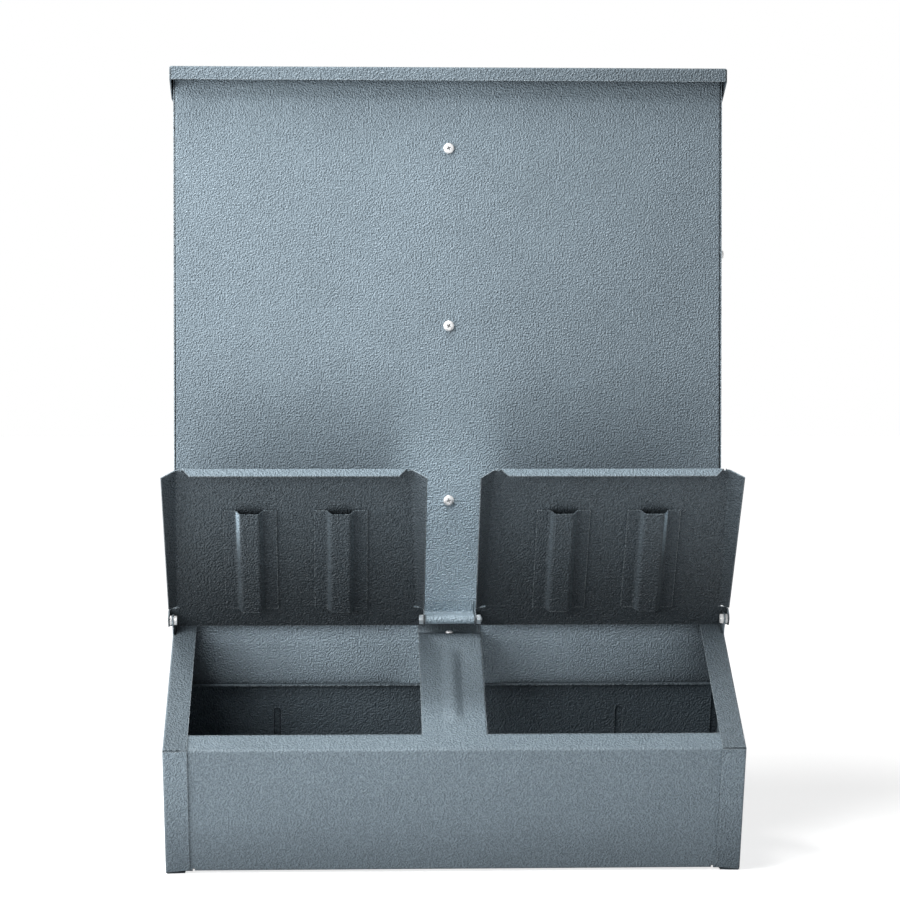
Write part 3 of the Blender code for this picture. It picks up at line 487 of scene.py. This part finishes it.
# %% Looks of the body
SLOPED_FACE = {"shaded_side": (0.0, -0.536, 0.844), "faces": (0.90, 0.98), "open_share": 1.0,
               "relief": 0.0018}
# Each look paints light and shade into its sheet's tone and its corner shade.
LOOKS = {
    "trough_front": {
        "light_and_shade_tone": 0.84, "relief": 0.0013, "fold_width": 0.0016, "softened": 0.004,
        "reach": 0.12, "shade_strength": 0.95,
        "shaded_side": (0.0, 1.0, 0.0), "shaded_tone": 0.75, "open_share": 0.3,
        "height_tones": [(0.158, 0.185, 0.63), (0.070, 0.010, 0.82)], "light_falloff": (0.0, 0.30, 0.92)},
    "front_panel": {
        "light_and_shade_tone": 0.96, "reach": 0.20, "shade_strength": 1.0,
        "height_tones": [(0.50, 0.34, 1.46), (0.262, 0.240, 0.74)], "shade_fade": (0.48, 0.62, 0.12),
        "light_falloff": (-0.05, 0.30, 0.76), "shade_cleared_middle": (0.026, 0.075, 0.0)},
    "feed_gate": {
        "light_and_shade_tone": 1.35, "reach": 0.20, "shade_strength": 0.5,
        "height_tones": [(0.30, 0.24, 0.46)], "light_falloff": (-0.10, 0.10, 0.68)},
    "roof_lid": {"light_and_shade_tone": 0.77, "light_falloff": (-0.05, 0.30, 0.62)},
    "left_side_panel": {**SLOPED_FACE, "light_and_shade_tone": 0.95, "shaded_tone": 0.60},
    "right_side_panel": {**SLOPED_FACE, "light_and_shade_tone": 0.82, "shaded_tone": 0.64},
    "hinge_knuckle": {"light_and_shade_tone": 1.4, "shade_strength": 0.1},
    "feed_ramp": {"reach": 0.20, "shade_strength": 0.9},
    "centre_post": {"shade_strength": 0.4}}
print("sheets with a look of their own:", len(LOOKS))

# %% [markdown]
# Last, each painted sheet of the frame gets its own material. One material for all would be
# shorter, but then two sheets side by side could show the same stains. The seed moves the waves, so
# each sheet shows a stretch of its own.

# %% Dress the painted sheets
SEED_STEP = 1.7


def dress(name, material):
    slots = nodes[name].material_slots
    if not slots:
        nodes[name].data.materials.append(material)
    for slot in nodes[name].material_slots:
        slot.material = material


def made_of(slot_name):
    return [entry["node"] for entry in frame["record"]["subparts"]
            if entry["material_slot"] == slot_name]


painted_nodes = made_of("painted_steel")
for number, name in enumerate(painted_nodes):
    is_lid = "_lid" in name and "roof" not in name
    look = {**PLAIN_LOOK, **(lid_look(name) if is_lid else LOOKS.get(name, {}))}
    dress(name, painted(name + "_enamel", SEED_STEP * number, look))
print("painted:", len(painted_nodes))

# %% [markdown]
# ## Zinc plating
# The fasteners are plated steel: bright, with a dull bloom in patches and fine scratches. Brushed
# or spun metal is often an image wrapped round the part, but such small parts need no more than
# three noises: a coarse one for the bloom, a stretched one for scratches, and a fine one for grain.

# %% Zinc pattern
BLOOM_SCALE, SCRATCH_SCALE, PLATING_SCALE = 320.0, 500.0, 2600.0
SCRATCH_STRETCH = (1.0, 9.0, 1.0)

plating, source, sink = start_group(
    "zinc_pattern",
    [("Vector", "NodeSocketVector", None), ("Seed", "NodeSocketFloat", 0.0)],
    [("Bloom", "NodeSocketFloat"), ("Scratch", "NodeSocketFloat"), ("Grain", "NodeSocketFloat")])
shifted = seeded_place(plating, source)
stretched = vector_node(plating, "MULTIPLY", shifted, SCRATCH_STRETCH)
for title, vector, scale, detail in (("Bloom", shifted, BLOOM_SCALE, 3.0),
                                     ("Scratch", stretched, SCRATCH_SCALE, 2.0),
                                     ("Grain", shifted, PLATING_SCALE, 2.0)):
    plating.links.new(noise(plating, vector, scale, detail), sink.inputs[title])
print("zinc pattern ready")

# %% [markdown]
# Fresh zinc is nearly white and its bloom grey. The corners of nuts and recesses are painted
# darker, as painted shade.
# The plating is only partly metallic here: a full metal would mirror the white room and look blank.
# The hinge bolt and its nut are handled most, so they are duller than the others.

# %% Plate the fasteners
CLEAN_ZINC, DULL_ZINC = (0.96, 0.97, 0.98, 1.0), (0.50, 0.58, 0.64, 1.0)
BLOOM, BLOOM_SHARE = (0.62, 0.62, 0.60, 1.0), 0.4
BLOOM_START, BLOOM_FULL = 0.35, 0.7
# The dark colour in corners and recesses is painted shade.
RECESS_SHADE, RECESS_SHADE_WIDTH, RECESS_SHADE_REACH = (0.32, 0.33, 0.34, 1.0), 0.0004, 0.004
SMOOTH_ZINC, SCRATCHED_ZINC = 0.30, 0.48
ZINC_METALLIC = 0.4
PLATING_STRENGTH, PLATING_DEPTH = 0.3, 0.00004
ZINC_SEED_STEP = 0.37


def zinc(name, seed, clean):
    material, tree, shader = new_material(name)
    pattern = use_group(tree, plating, Seed=seed)
    edge = use_group(tree, edges, Width=RECESS_SHADE_WIDTH, Reach=RECESS_SHADE_REACH)
    tree.links.new(object_place(tree), pattern.inputs["Vector"])
    bloom = map_range(tree, pattern.outputs["Bloom"], BLOOM_START, BLOOM_FULL)
    base = mix_colour(tree, math_node(tree, "MULTIPLY", bloom, BLOOM_SHARE), clean, BLOOM)
    links = {"Base Color": mix_colour(tree, edge.outputs["Corner"], base, RECESS_SHADE),
             "Roughness": map_range(tree, pattern.outputs["Scratch"], NOISE_LOW, NOISE_HIGH,
                                    SMOOTH_ZINC, SCRATCHED_ZINC),
             "Normal": bump(tree, pattern.outputs["Grain"], PLATING_STRENGTH, PLATING_DEPTH),
             "Metallic": ZINC_METALLIC}
    for title, value in links.items():
        feed(tree, shader.inputs[title], value)
    return material


zinc_nodes = made_of("zinc_steel")
for number, name in enumerate(zinc_nodes):
    clean = DULL_ZINC if name.startswith("hinge_") else CLEAN_ZINC
    dress(name, zinc(name + "_zinc", ZINC_SEED_STEP * number, clean))
print("plated:", len(zinc_nodes))

# %% [markdown]
# ## Finer fasteners
# The frame's screws and nuts are plain turned shapes. Each gets a finer copy in the same place. A
# screw is a lathe part, so the copies are turned too: a list of heights and radii becomes rings,
# and the rings are joined into a skin. A radius may depend on the angle, which gives hexagons and
# threads as well.

# %% Turning tools
SIDES = 48
TURN = 2 * math.pi


def axis_frame(centre, axis):
    return Matrix.Translation(centre) @ Vector(axis).to_track_quat("Z", "X").to_matrix().to_4x4()


def turned_ring(place, height, radius):
    ring = []
    for i in range(SIDES):
        angle = TURN * i / SIDES
        reach = radius(angle) if callable(radius) else radius
        ring.append(place @ Vector((reach * math.cos(angle), reach * math.sin(angle), height)))
    return ring


def loft(build, rings, capped=True):
    """Joins rings into a skin. It is closed with two caps, or by joining the last to the first."""
    layers = [[build.verts.new(point) for point in ring] for ring in rings]
    pairs = list(zip(layers, layers[1:]))
    if not capped:
        pairs.append((layers[-1], layers[0]))
    for lower, upper in pairs:
        for i in range(len(lower)):
            j = (i + 1) % len(lower)
            build.faces.new([lower[i], lower[j], upper[j], upper[i]])
    if capped:
        build.faces.new(list(reversed(layers[0])))
        build.faces.new(layers[-1])
    bmesh.ops.recalc_face_normals(build, faces=build.faces)


def turned(place, profile, capped=True):
    build = bmesh.new()
    loft(build, [turned_ring(place, height, radius) for height, radius in profile], capped)
    return build


print("turning tools ready")

# %% [markdown]
# A real thread is one ridge wound round the shank. It is a radius here, which rises and falls once
# a pitch and winds round with the angle. A bump would give the lines too, but not the toothed
# outline that a nut or a bolt's end shows from the side.

# %% Threads
M6, M5 = (0.0030, 0.0010), (0.0025, 0.0008)  # radius and pitch
THREAD_DEPTH = 0.55
RINGS_PER_PITCH = 5


def thread(radius, pitch, start, end):
    rows = []
    steps = max(3, round((end - start) / pitch * RINGS_PER_PITCH))
    for i in range(steps + 1):
        height = start + (end - start) * i / steps

        def reach(angle, height=height):
            phase = (height / pitch - angle / TURN) % 1.0
            return radius - THREAD_DEPTH * pitch * abs(2 * phase - 1)

        rows.append((height, reach))
    return rows


print("threads ready")

# %% [markdown]
# A hexagon is a radius too. Real nuts are turned with a chamfer before their flats are formed, so
# their corners are cut by a cone, which is a limit on that radius. A pan head has a short straight
# edge, a full round shoulder and a flatter crown.

# %% Hexagons and pan heads
CHAMFER = 0.0007
CHAMFERED, HALF_CHAMFERED = 0.875, 0.94
EDGE_HEIGHT, EDGE_RADIUS = 0.06, 0.965
SHOULDER = 0.30
CROWN_START, CROWN_TURN, CROWN_STEPS = 4, 74, 8
CROWN_FLAT = 0.22


def hexagon(flats, limit=1.0):
    corner = flats / math.sqrt(3)

    def reach(angle):
        across = (angle + math.pi / 6) % (math.pi / 3) - math.pi / 6
        return min(flats / 2 / math.cos(across), corner * limit)

    return reach


def hex_body(flats, start, end, both=True):
    """A hexagon from start to end, with its corners chamfered at the end, or at both."""
    cut = math.copysign(CHAMFER, end - start)
    full, tip = hexagon(flats), hexagon(flats, CHAMFERED)
    first = [(start, tip), (start + cut, full)] if both else [(start, full)]
    return first + [(end - cut, full), (end - cut * 0.5, hexagon(flats, HALF_CHAMFERED)),
                    (end, tip)]


def pan_rows(radius, height):
    rows = [(0.0, radius * EDGE_RADIUS), (height * EDGE_HEIGHT, radius)]
    crown = 1.0 - SHOULDER
    for step in range(CROWN_STEPS + 1):
        angle = math.radians(CROWN_START + CROWN_TURN * step / CROWN_STEPS)
        rows.append((height * (SHOULDER + crown * math.sin(angle)),
                     radius * (SHOULDER + crown * math.cos(angle))))
    return rows + [(height, radius * CROWN_FLAT)]


print("hexagons and pan heads ready")

# %% [markdown]
# A cross recess is pressed with a tapered punch. The copy is cut with the same tapered cross, which
# leaves the crisp rim that a bump can't show.

# %% The recess cutter
PUNCH_TIP_REACH, PUNCH_TIP_WIDTH = 0.42, 0.7
ABOVE_HEAD = 0.0005


def cross_cutter(place, top, reach, half, deep):
    rings = []
    for height, long, wide in ((top - deep, reach * PUNCH_TIP_REACH, half * PUNCH_TIP_WIDTH),
                               (top + ABOVE_HEAD, reach, half)):
        arms = [(long, -wide), (long, wide), (wide, wide), (wide, long)]
        outline = arms + [(-wide, long), (-wide, wide)] + [(-x, -y) for x, y in arms]
        outline += [(wide, -long), (wide, -wide)]
        rings.append([place @ Vector((x, y, height)) for x, y in outline])
    build = bmesh.new()
    loft(build, rings)
    return build


print("recess cutter ready")

# %% [markdown]
# A finished fastener takes its node's zinc, rides its node's body and takes its node's place. Cuts
# are made once and kept as plain mesh, so nothing is left to work out when the picture is made.

# %% Finish a fastener
SHARP_ANGLE = 38


def to_object(name, build):
    mesh = bpy.data.meshes.new(name)
    build.to_mesh(mesh)
    build.free()
    item = bpy.data.objects.new(name, mesh)
    bpy.context.scene.collection.objects.link(item)
    return item


def apply_modifiers(item):
    shape = item.evaluated_get(bpy.context.evaluated_depsgraph_get())
    result = bpy.data.meshes.new_from_object(shape)
    item.modifiers.clear()
    item.data = result


def fastener(node, build, body="feeder", cutter=None):
    item = to_object(node + "_fine", build)
    if cutter is not None:
        tool = to_object("recess_tool", cutter)
        cut = item.modifiers.new("recess", "BOOLEAN")
        cut.operation = "DIFFERENCE"
        cut.solver = "EXACT"
        cut.object = tool
        apply_modifiers(item)
        bpy.data.objects.remove(tool)
    item.data.shade_smooth()
    item.data.set_sharp_from_angle(angle=math.radians(SHARP_ANGLE))
    item.data.materials.clear()
    item.data.materials.append(nodes[node].material_slots[0].material)
    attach(item, body)
    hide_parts(node)


def middle_and_length(node, axis):
    """A fastener's place is read from the frame, so it stays right if the part is resized."""
    lowest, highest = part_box(node)
    return (lowest + highest) / 2, abs((highest - lowest).dot(Vector(axis)))


print("fastener finish ready")

# %% [markdown]
# Pan-head screws hold the stiffening post, the right side, the trough strip and the roof's two
# pivots. Each cross is turned a little differently, as a hand-driven screw stops where it grips.

# %% Pan-head screws
TIP_ROWS = [(0.0, 0.72), (0.0006, 0.9)]
THREAD_FROM_TIP, THREAD_TO_HEAD = 0.0008, 0.0016
NECK_START, NECK_END = -0.0012, -0.0001
CROSS_REACH, CROSS_WIDTH, CROSS_DEPTH = 0.44, 0.105, 0.62


def pan_screw(node, axis, radius, height, size, turn):
    centre, reach = middle_and_length(node, axis)
    shank = size[0]
    length = reach - height
    seat = centre + Vector(axis) * (length - reach / 2)
    place = axis_frame(seat, axis) @ Matrix.Rotation(turn, 4, "Z")
    rows = [(rise - length, shank * share) for rise, share in TIP_ROWS]
    rows += thread(*size, THREAD_FROM_TIP - length, -THREAD_TO_HEAD)
    rows += [(NECK_START, shank), (NECK_END, shank)] + pan_rows(radius, height)
    cutter = cross_cutter(place, height, radius * CROSS_REACH, radius * CROSS_WIDTH,
                          height * CROSS_DEPTH)
    fastener(node, turned(place, rows), cutter=cutter)


SCREWS = [("lower_front_screw", (0, -1, 0), 0.0060, 0.0036, M6, 0.25),
          ("middle_front_screw", (0, -1, 0), 0.0060, 0.0036, M6, 1.15),
          ("upper_front_screw", (0, -1, 0), 0.0060, 0.0036, M6, 2.05),
          ("side_screw", (1, 0, 0), 0.0048, 0.0035, M5, 0.3),
          ("strip_screw", (0, 0, 1), 0.0042, 0.0026, M5, 0.7),
          ("left_roof_screw", (-1, 0, 0), 0.0060, 0.0030, M6, 0.5),
          ("right_roof_screw", (1, 0, 0), 0.0060, 0.0030, M6, 1.2)]
for values in SCREWS:
    pan_screw(*values)
print("pan-head screws:", len(SCREWS))

# %% [markdown]
# Nuts sit behind the screws. Each keeps its bore, so that the screw's thread shows inside it. A
# ring that is turned along its bore needs no cutting: the last row joins the first.

# %% Hexagon nuts
BORE_CHAMFER, BORE_MOUTH = 0.0003, 1.12


def nut(node, axis, flats, bore):
    centre, thick = middle_and_length(node, axis)
    half = thick / 2
    inner = half - BORE_CHAMFER
    rows = hex_body(flats, -half, half)
    rows += [(half, bore * BORE_MOUTH), (inner, bore), (-inner, bore), (-half, bore * BORE_MOUTH)]
    fastener(node, turned(axis_frame(centre, axis), rows, capped=False))


M6_NUT, M5_NUT = (0.010, 0.0033), (0.008, 0.0026)  # flats and bore radius
NUTS = [("lower_front_nut", (0, 1, 0), M6_NUT), ("middle_front_nut", (0, 1, 0), M6_NUT),
        ("upper_front_nut", (0, 1, 0), M6_NUT), ("side_screw_nut", (1, 0, 0), M5_NUT),
        ("strip_screw_nut", (0, 0, 1), M5_NUT), ("left_roof_nut", (1, 0, 0), M6_NUT),
        ("right_roof_nut", (-1, 0, 0), M6_NUT), ("hinge_lock_nut", (1, 0, 0), M6_NUT),
        ("left_pivot_nut", (-1, 0, 0), M6_NUT), ("right_pivot_nut", (1, 0, 0), M6_NUT)]
for name, axis, nut_size in NUTS:
    nut(name, axis, *nut_size)
print("nuts:", len(NUTS))

# %% [markdown]
# The long hinge bolt runs through the knuckle and both inner ears, and a short stud carries each
# outer ear. A bolt is one turned part from its hexagon head to its chamfered tip.

# %% Hinge bolt and pivot studs
THREAD_START, TIP_LENGTH, TIP_RADIUS = 0.0004, 0.0007, 0.75


def hex_bolt(node, axis, flats, head, threaded):
    centre, long = middle_and_length(node, axis)
    shank = M6[0]
    under, tip = -long / 2 + head, long / 2
    rows = list(reversed(hex_body(flats, under, -tip, both=False)))
    rows += [(under, shank), (tip - threaded, shank)]
    rows += thread(*M6, tip - threaded + THREAD_START, tip - TIP_LENGTH)
    rows.append((tip, shank * TIP_RADIUS))
    fastener(node, turned(axis_frame(centre, axis), rows))


BOLTS = [("hinge_bolt", (1, 0, 0), 0.010, 0.0045, 0.0125),
         ("left_pivot_bolt", (-1, 0, 0), 0.010, 0.0035, 0.0055),
         ("right_pivot_bolt", (1, 0, 0), 0.010, 0.0035, 0.0055)]
for values in BOLTS:
    hex_bolt(*values)
print("bolts:", len(BOLTS))

# %% [markdown]
# Two carriage bolts clamp the feed gate. A washer's middle lies on its bolt's axis, so the washers
# give the places. The axis is the normal of the hopper's lower lip, which slopes by 20 degrees.

# %% Carriage bolts and washers
GATE_AXIS = Vector((0.0, -0.939693, -0.342020))
WASHER_LOW, WASHER_HIGH = 0.0018, 0.0030
DOME_ROWS = [(-0.0040, 0.0022), (-0.0038, 0.0036), (-0.0033, 0.0051), (-0.0025, 0.0061),
             (-0.0017, 0.0065), (-0.0015, 0.0064), (-0.0015, M6[0])]
BOLT_END = 0.016
CARRIAGE_ROWS = DOME_ROWS + thread(*M6, -0.0008, BOLT_END - TIP_LENGTH)
CARRIAGE_ROWS.append((BOLT_END, M6[0] * TIP_RADIUS))
WASHER_ROWS = [(WASHER_LOW, 0.0062), (WASHER_LOW + 0.0003, 0.0065), (WASHER_HIGH - 0.0002, 0.0065),
               (WASHER_HIGH, 0.0063), (WASHER_HIGH, 0.0034), (WASHER_LOW, 0.0034)]

gate_stands = {}
for side in ("left", "right"):
    centre, _ = middle_and_length(side + "_gate_washer", GATE_AXIS)
    stand = axis_frame(centre - GATE_AXIS * (WASHER_LOW + WASHER_HIGH) / 2, GATE_AXIS)
    gate_stands[side] = stand
    fastener(side + "_gate_bolt", turned(stand, CARRIAGE_ROWS))
    fastener(side + "_gate_washer", turned(stand, WASHER_ROWS, capped=False))
print("gate bolts and washers: 4")

# %% [markdown]
# A wing nut is cast: its two ears grow out of the hub and end in soft rounded tips. Each ear is a
# row of ovals that leans outwards. Two skins that only overlap would show a hard line between hub
# and ear, so the parts are melted into one with a fine remesh, smoothed, and bored last.

# %% Cast a wing nut
HUB_ROWS = [(0.0, 0.0053), (0.0004, 0.0056), (0.0035, 0.0051), (0.0061, 0.0047), (0.0065, 0.0043)]
WINGS = [(0.0020, 0.0004, 0.0060, 0.0022), (0.0042, 0.0012, 0.0062, 0.0017),
         (0.0062, 0.0026, 0.0076, 0.0013), (0.0082, 0.0042, 0.0094, 0.0012),
         (0.0100, 0.0056, 0.0112, 0.0012), (0.0114, 0.0068, 0.0122, 0.0011),
         (0.0124, 0.0082, 0.0122, 0.0009), (0.0128, 0.0094, 0.0114, 0.0005)]
OVAL_SIDES = 16
VOXEL = 0.00045
SOFTENING, SOFTENING_PASSES = 0.6, 3


def oval(place, out, low, high, half):
    ring = []
    for i in range(OVAL_SIDES):
        angle = TURN * i / OVAL_SIDES
        ring.append(place @ Vector((out, half * math.cos(angle),
                                    (low + high) / 2 + (high - low) / 2 * math.sin(angle))))
    return ring


def cast_wing_nut(base):
    build = turned(base, HUB_ROWS)
    for side in (-1, 1):
        loft(build, [oval(base, side * out, low, high, half) for out, low, high, half in WINGS])
    item = to_object("cast_wing_nut", build)
    skin = item.modifiers.new("skin", "REMESH")
    skin.mode = "VOXEL"
    skin.voxel_size = VOXEL
    soft = item.modifiers.new("soft", "SMOOTH")
    soft.factor = SOFTENING
    soft.iterations = SOFTENING_PASSES
    apply_modifiers(item)
    cast = bmesh.new()
    cast.from_mesh(item.data)
    bpy.data.objects.remove(item)
    return cast


print("wing nut casting ready")

# %% [markdown]
# The two wing nuts turn on their own bodies. Each stands a hair clear of its washer.

# %% Wing nuts
NUT_CLEARANCE = 0.0003
WING_BORE_RADIUS = 0.00325
WING_BORE = [(-0.001, WING_BORE_RADIUS), (0.009, WING_BORE_RADIUS)]

for side, stand in gate_stands.items():
    base = stand @ Matrix.Translation((0, 0, WASHER_HIGH + NUT_CLEARANCE))
    fastener(side + "_wing_nut", cast_wing_nut(base), body=side + "_wing",
             cutter=turned(base, WING_BORE))
print("wing nuts: 2")

# %% [markdown]
# ## Studio
# The photograph is cut out on white. A white room would give that too, but it would light the dark
# trough from all sides. So the room is white only for rays that a viewer could see: those from the
# camera, from a mirror image or through glass. For the light that falls on the feeder it is dim.

# %% Rays of the background
def background_ray(tree):
    path = tree.nodes.new("ShaderNodeLightPath")
    shown = math_node(tree, "MAXIMUM", path.outputs["Is Camera Ray"], path.outputs["Is Glossy Ray"])
    return math_node(tree, "MAXIMUM", shown, path.outputs["Is Transmission Ray"])


print("background rays ready")

# %% [markdown]
# The floor keeps a soft shadow at the feeder's foot and fades to white further out. Seen rays get
# a pale surface plus a glow that grows with the distance; light that bounces finds a plain pale
# grey. A floor that only catches shadows would need compositing, which this scene does without.

# %% Floor
FLOOR_SIZE = 30.0
FLOOR_COLOUR, FLOOR_ROUGHNESS, FLOOR_SPECULAR = (0.88, 0.88, 0.88, 1.0), 0.9, 0.1
BOUNCE_COLOUR = (0.66, 0.66, 0.67, 1.0)
GLOW_NEAR, GLOW_FAR = 0.78, 1.0
NEAR, FAR = 0.8, 2.4

floor_mesh = bpy.data.meshes.new("floor")
build = bmesh.new()
bmesh.ops.create_grid(build, x_segments=1, y_segments=1, size=FLOOR_SIZE)
build.to_mesh(floor_mesh)
build.free()
floor = bpy.data.objects.new("floor", floor_mesh)
bpy.context.scene.collection.objects.link(floor)

pale, tree, shader = new_material("pale_floor")
shader.inputs["Base Color"].default_value = FLOOR_COLOUR
shader.inputs["Roughness"].default_value = FLOOR_ROUGHNESS
shader.inputs["Specular IOR Level"].default_value = FLOOR_SPECULAR
quiet = tree.nodes.new("ShaderNodeBsdfDiffuse")
quiet.inputs["Color"].default_value = BOUNCE_COLOUR
glow = tree.nodes.new("ShaderNodeEmission")
away = vector_node(tree, "LENGTH", object_place(tree))
feed(tree, glow.inputs["Strength"], map_range(tree, away, NEAR, FAR, GLOW_NEAR, GLOW_FAR, True))
bright = tree.nodes.new("ShaderNodeAddShader")
choose = tree.nodes.new("ShaderNodeMixShader")
for value, socket in ((shader.outputs[0], bright.inputs[0]), (glow.outputs[0], bright.inputs[1]),
                      (background_ray(tree), choose.inputs[0]),
                      (quiet.outputs[0], choose.inputs[1]), (bright.outputs[0], choose.inputs[2]),
                      (choose.outputs[0], tree.nodes["Material Output"].inputs["Surface"])):
    feed(tree, socket, value)
floor_mesh.materials.append(pale)
print("floor ready")

# %% [markdown]
# The sky is white where it is seen and nearly dark as a lamp, so that the soft lamps alone shape
# the feeder.

# %% Sky
SKY_AS_LAMP, SKY_SEEN = 0.03, 1.0

world = bpy.data.worlds.new("studio")
bpy.context.scene.world = world
world.use_nodes = True
tree = world.node_tree
sky = tree.nodes["Background"]
sky.inputs["Color"].default_value = (1.0, 1.0, 1.0, 1.0)
strength = map_range(tree, background_ray(tree), 0.0, 1.0, SKY_AS_LAMP, SKY_SEEN)
feed(tree, sky.inputs["Strength"], strength)
print("sky ready")

# %% [markdown]
# Five soft lamps. The key stands high on the left, and a broad front lamp fills the trough and the
# lids from the same side. The top one lights the roof and the slopes, and the left one the left
# side panel. The photograph falls off to the right, so the lamp there is very weak. An image of a
# studio could light the scene as well, but lamps can be placed and measured one by one.

# %% Lamps
def softbox(name, place, target, width, height, power):
    data = bpy.data.lights.new(name, "AREA")
    data.shape = "RECTANGLE"
    data.size = width
    data.size_y = height
    data.energy = power
    lamp = bpy.data.objects.new(name, data)
    bpy.context.scene.collection.objects.link(lamp)
    lamp.location = place
    aim = Vector(target) - Vector(place)
    lamp.rotation_euler = aim.to_track_quat("-Z", "Y").to_euler()


LAMPS = [("key", (-1.20, -1.45, 2.20), (0.0, -0.1, 0.5), 0.9, 0.7, 27.0),
         ("front", (-1.85, -2.0, 0.95), (0.0, 0.0, 0.4), 1.3, 1.0, 24.0),
         ("top", (-0.50, -0.60, 2.5), (0.0, -0.25, 0.3), 1.0, 0.4, 26.0),
         ("left", (-2.6, -1.2, 0.8), (0.0, -0.1, 0.4), 0.8, 1.2, 26.0),
         ("right", (2.6, -1.2, 0.8), (0.0, -0.1, 0.4), 0.8, 1.2, 1.5)]
for values in LAMPS:
    softbox(*values)
print("lamps:", len(LAMPS))

# %% [markdown]
# ## Camera
# The picture was taken from a little left of the middle, about half a metre up, with a long lens.
# The focal length is given in pixels of the photograph, because it was fitted to its outlines.

# %% Camera
SENSOR = 36.0
PHOTO_PIXELS, FOCAL_PIXELS = 900.0, 2590.0
CAMERA_PLACE = (-0.1075, -2.860, 0.495)
LOOK_DOWN, LOOK_RIGHT = 1.15, 2.2

camera_data = bpy.data.cameras.new("camera")
camera_data.sensor_width = SENSOR
camera_data.lens = FOCAL_PIXELS / PHOTO_PIXELS * SENSOR
camera_data.clip_end = 100.0
camera = bpy.data.objects.new("camera", camera_data)
camera.location = CAMERA_PLACE
camera.rotation_euler = (math.radians(90.0 - LOOK_DOWN), 0.0, math.radians(-LOOK_RIGHT))
scene = bpy.context.scene
scene.collection.objects.link(camera)
scene.camera = camera
scene.view_settings.view_transform = "Standard"
print("camera ready")
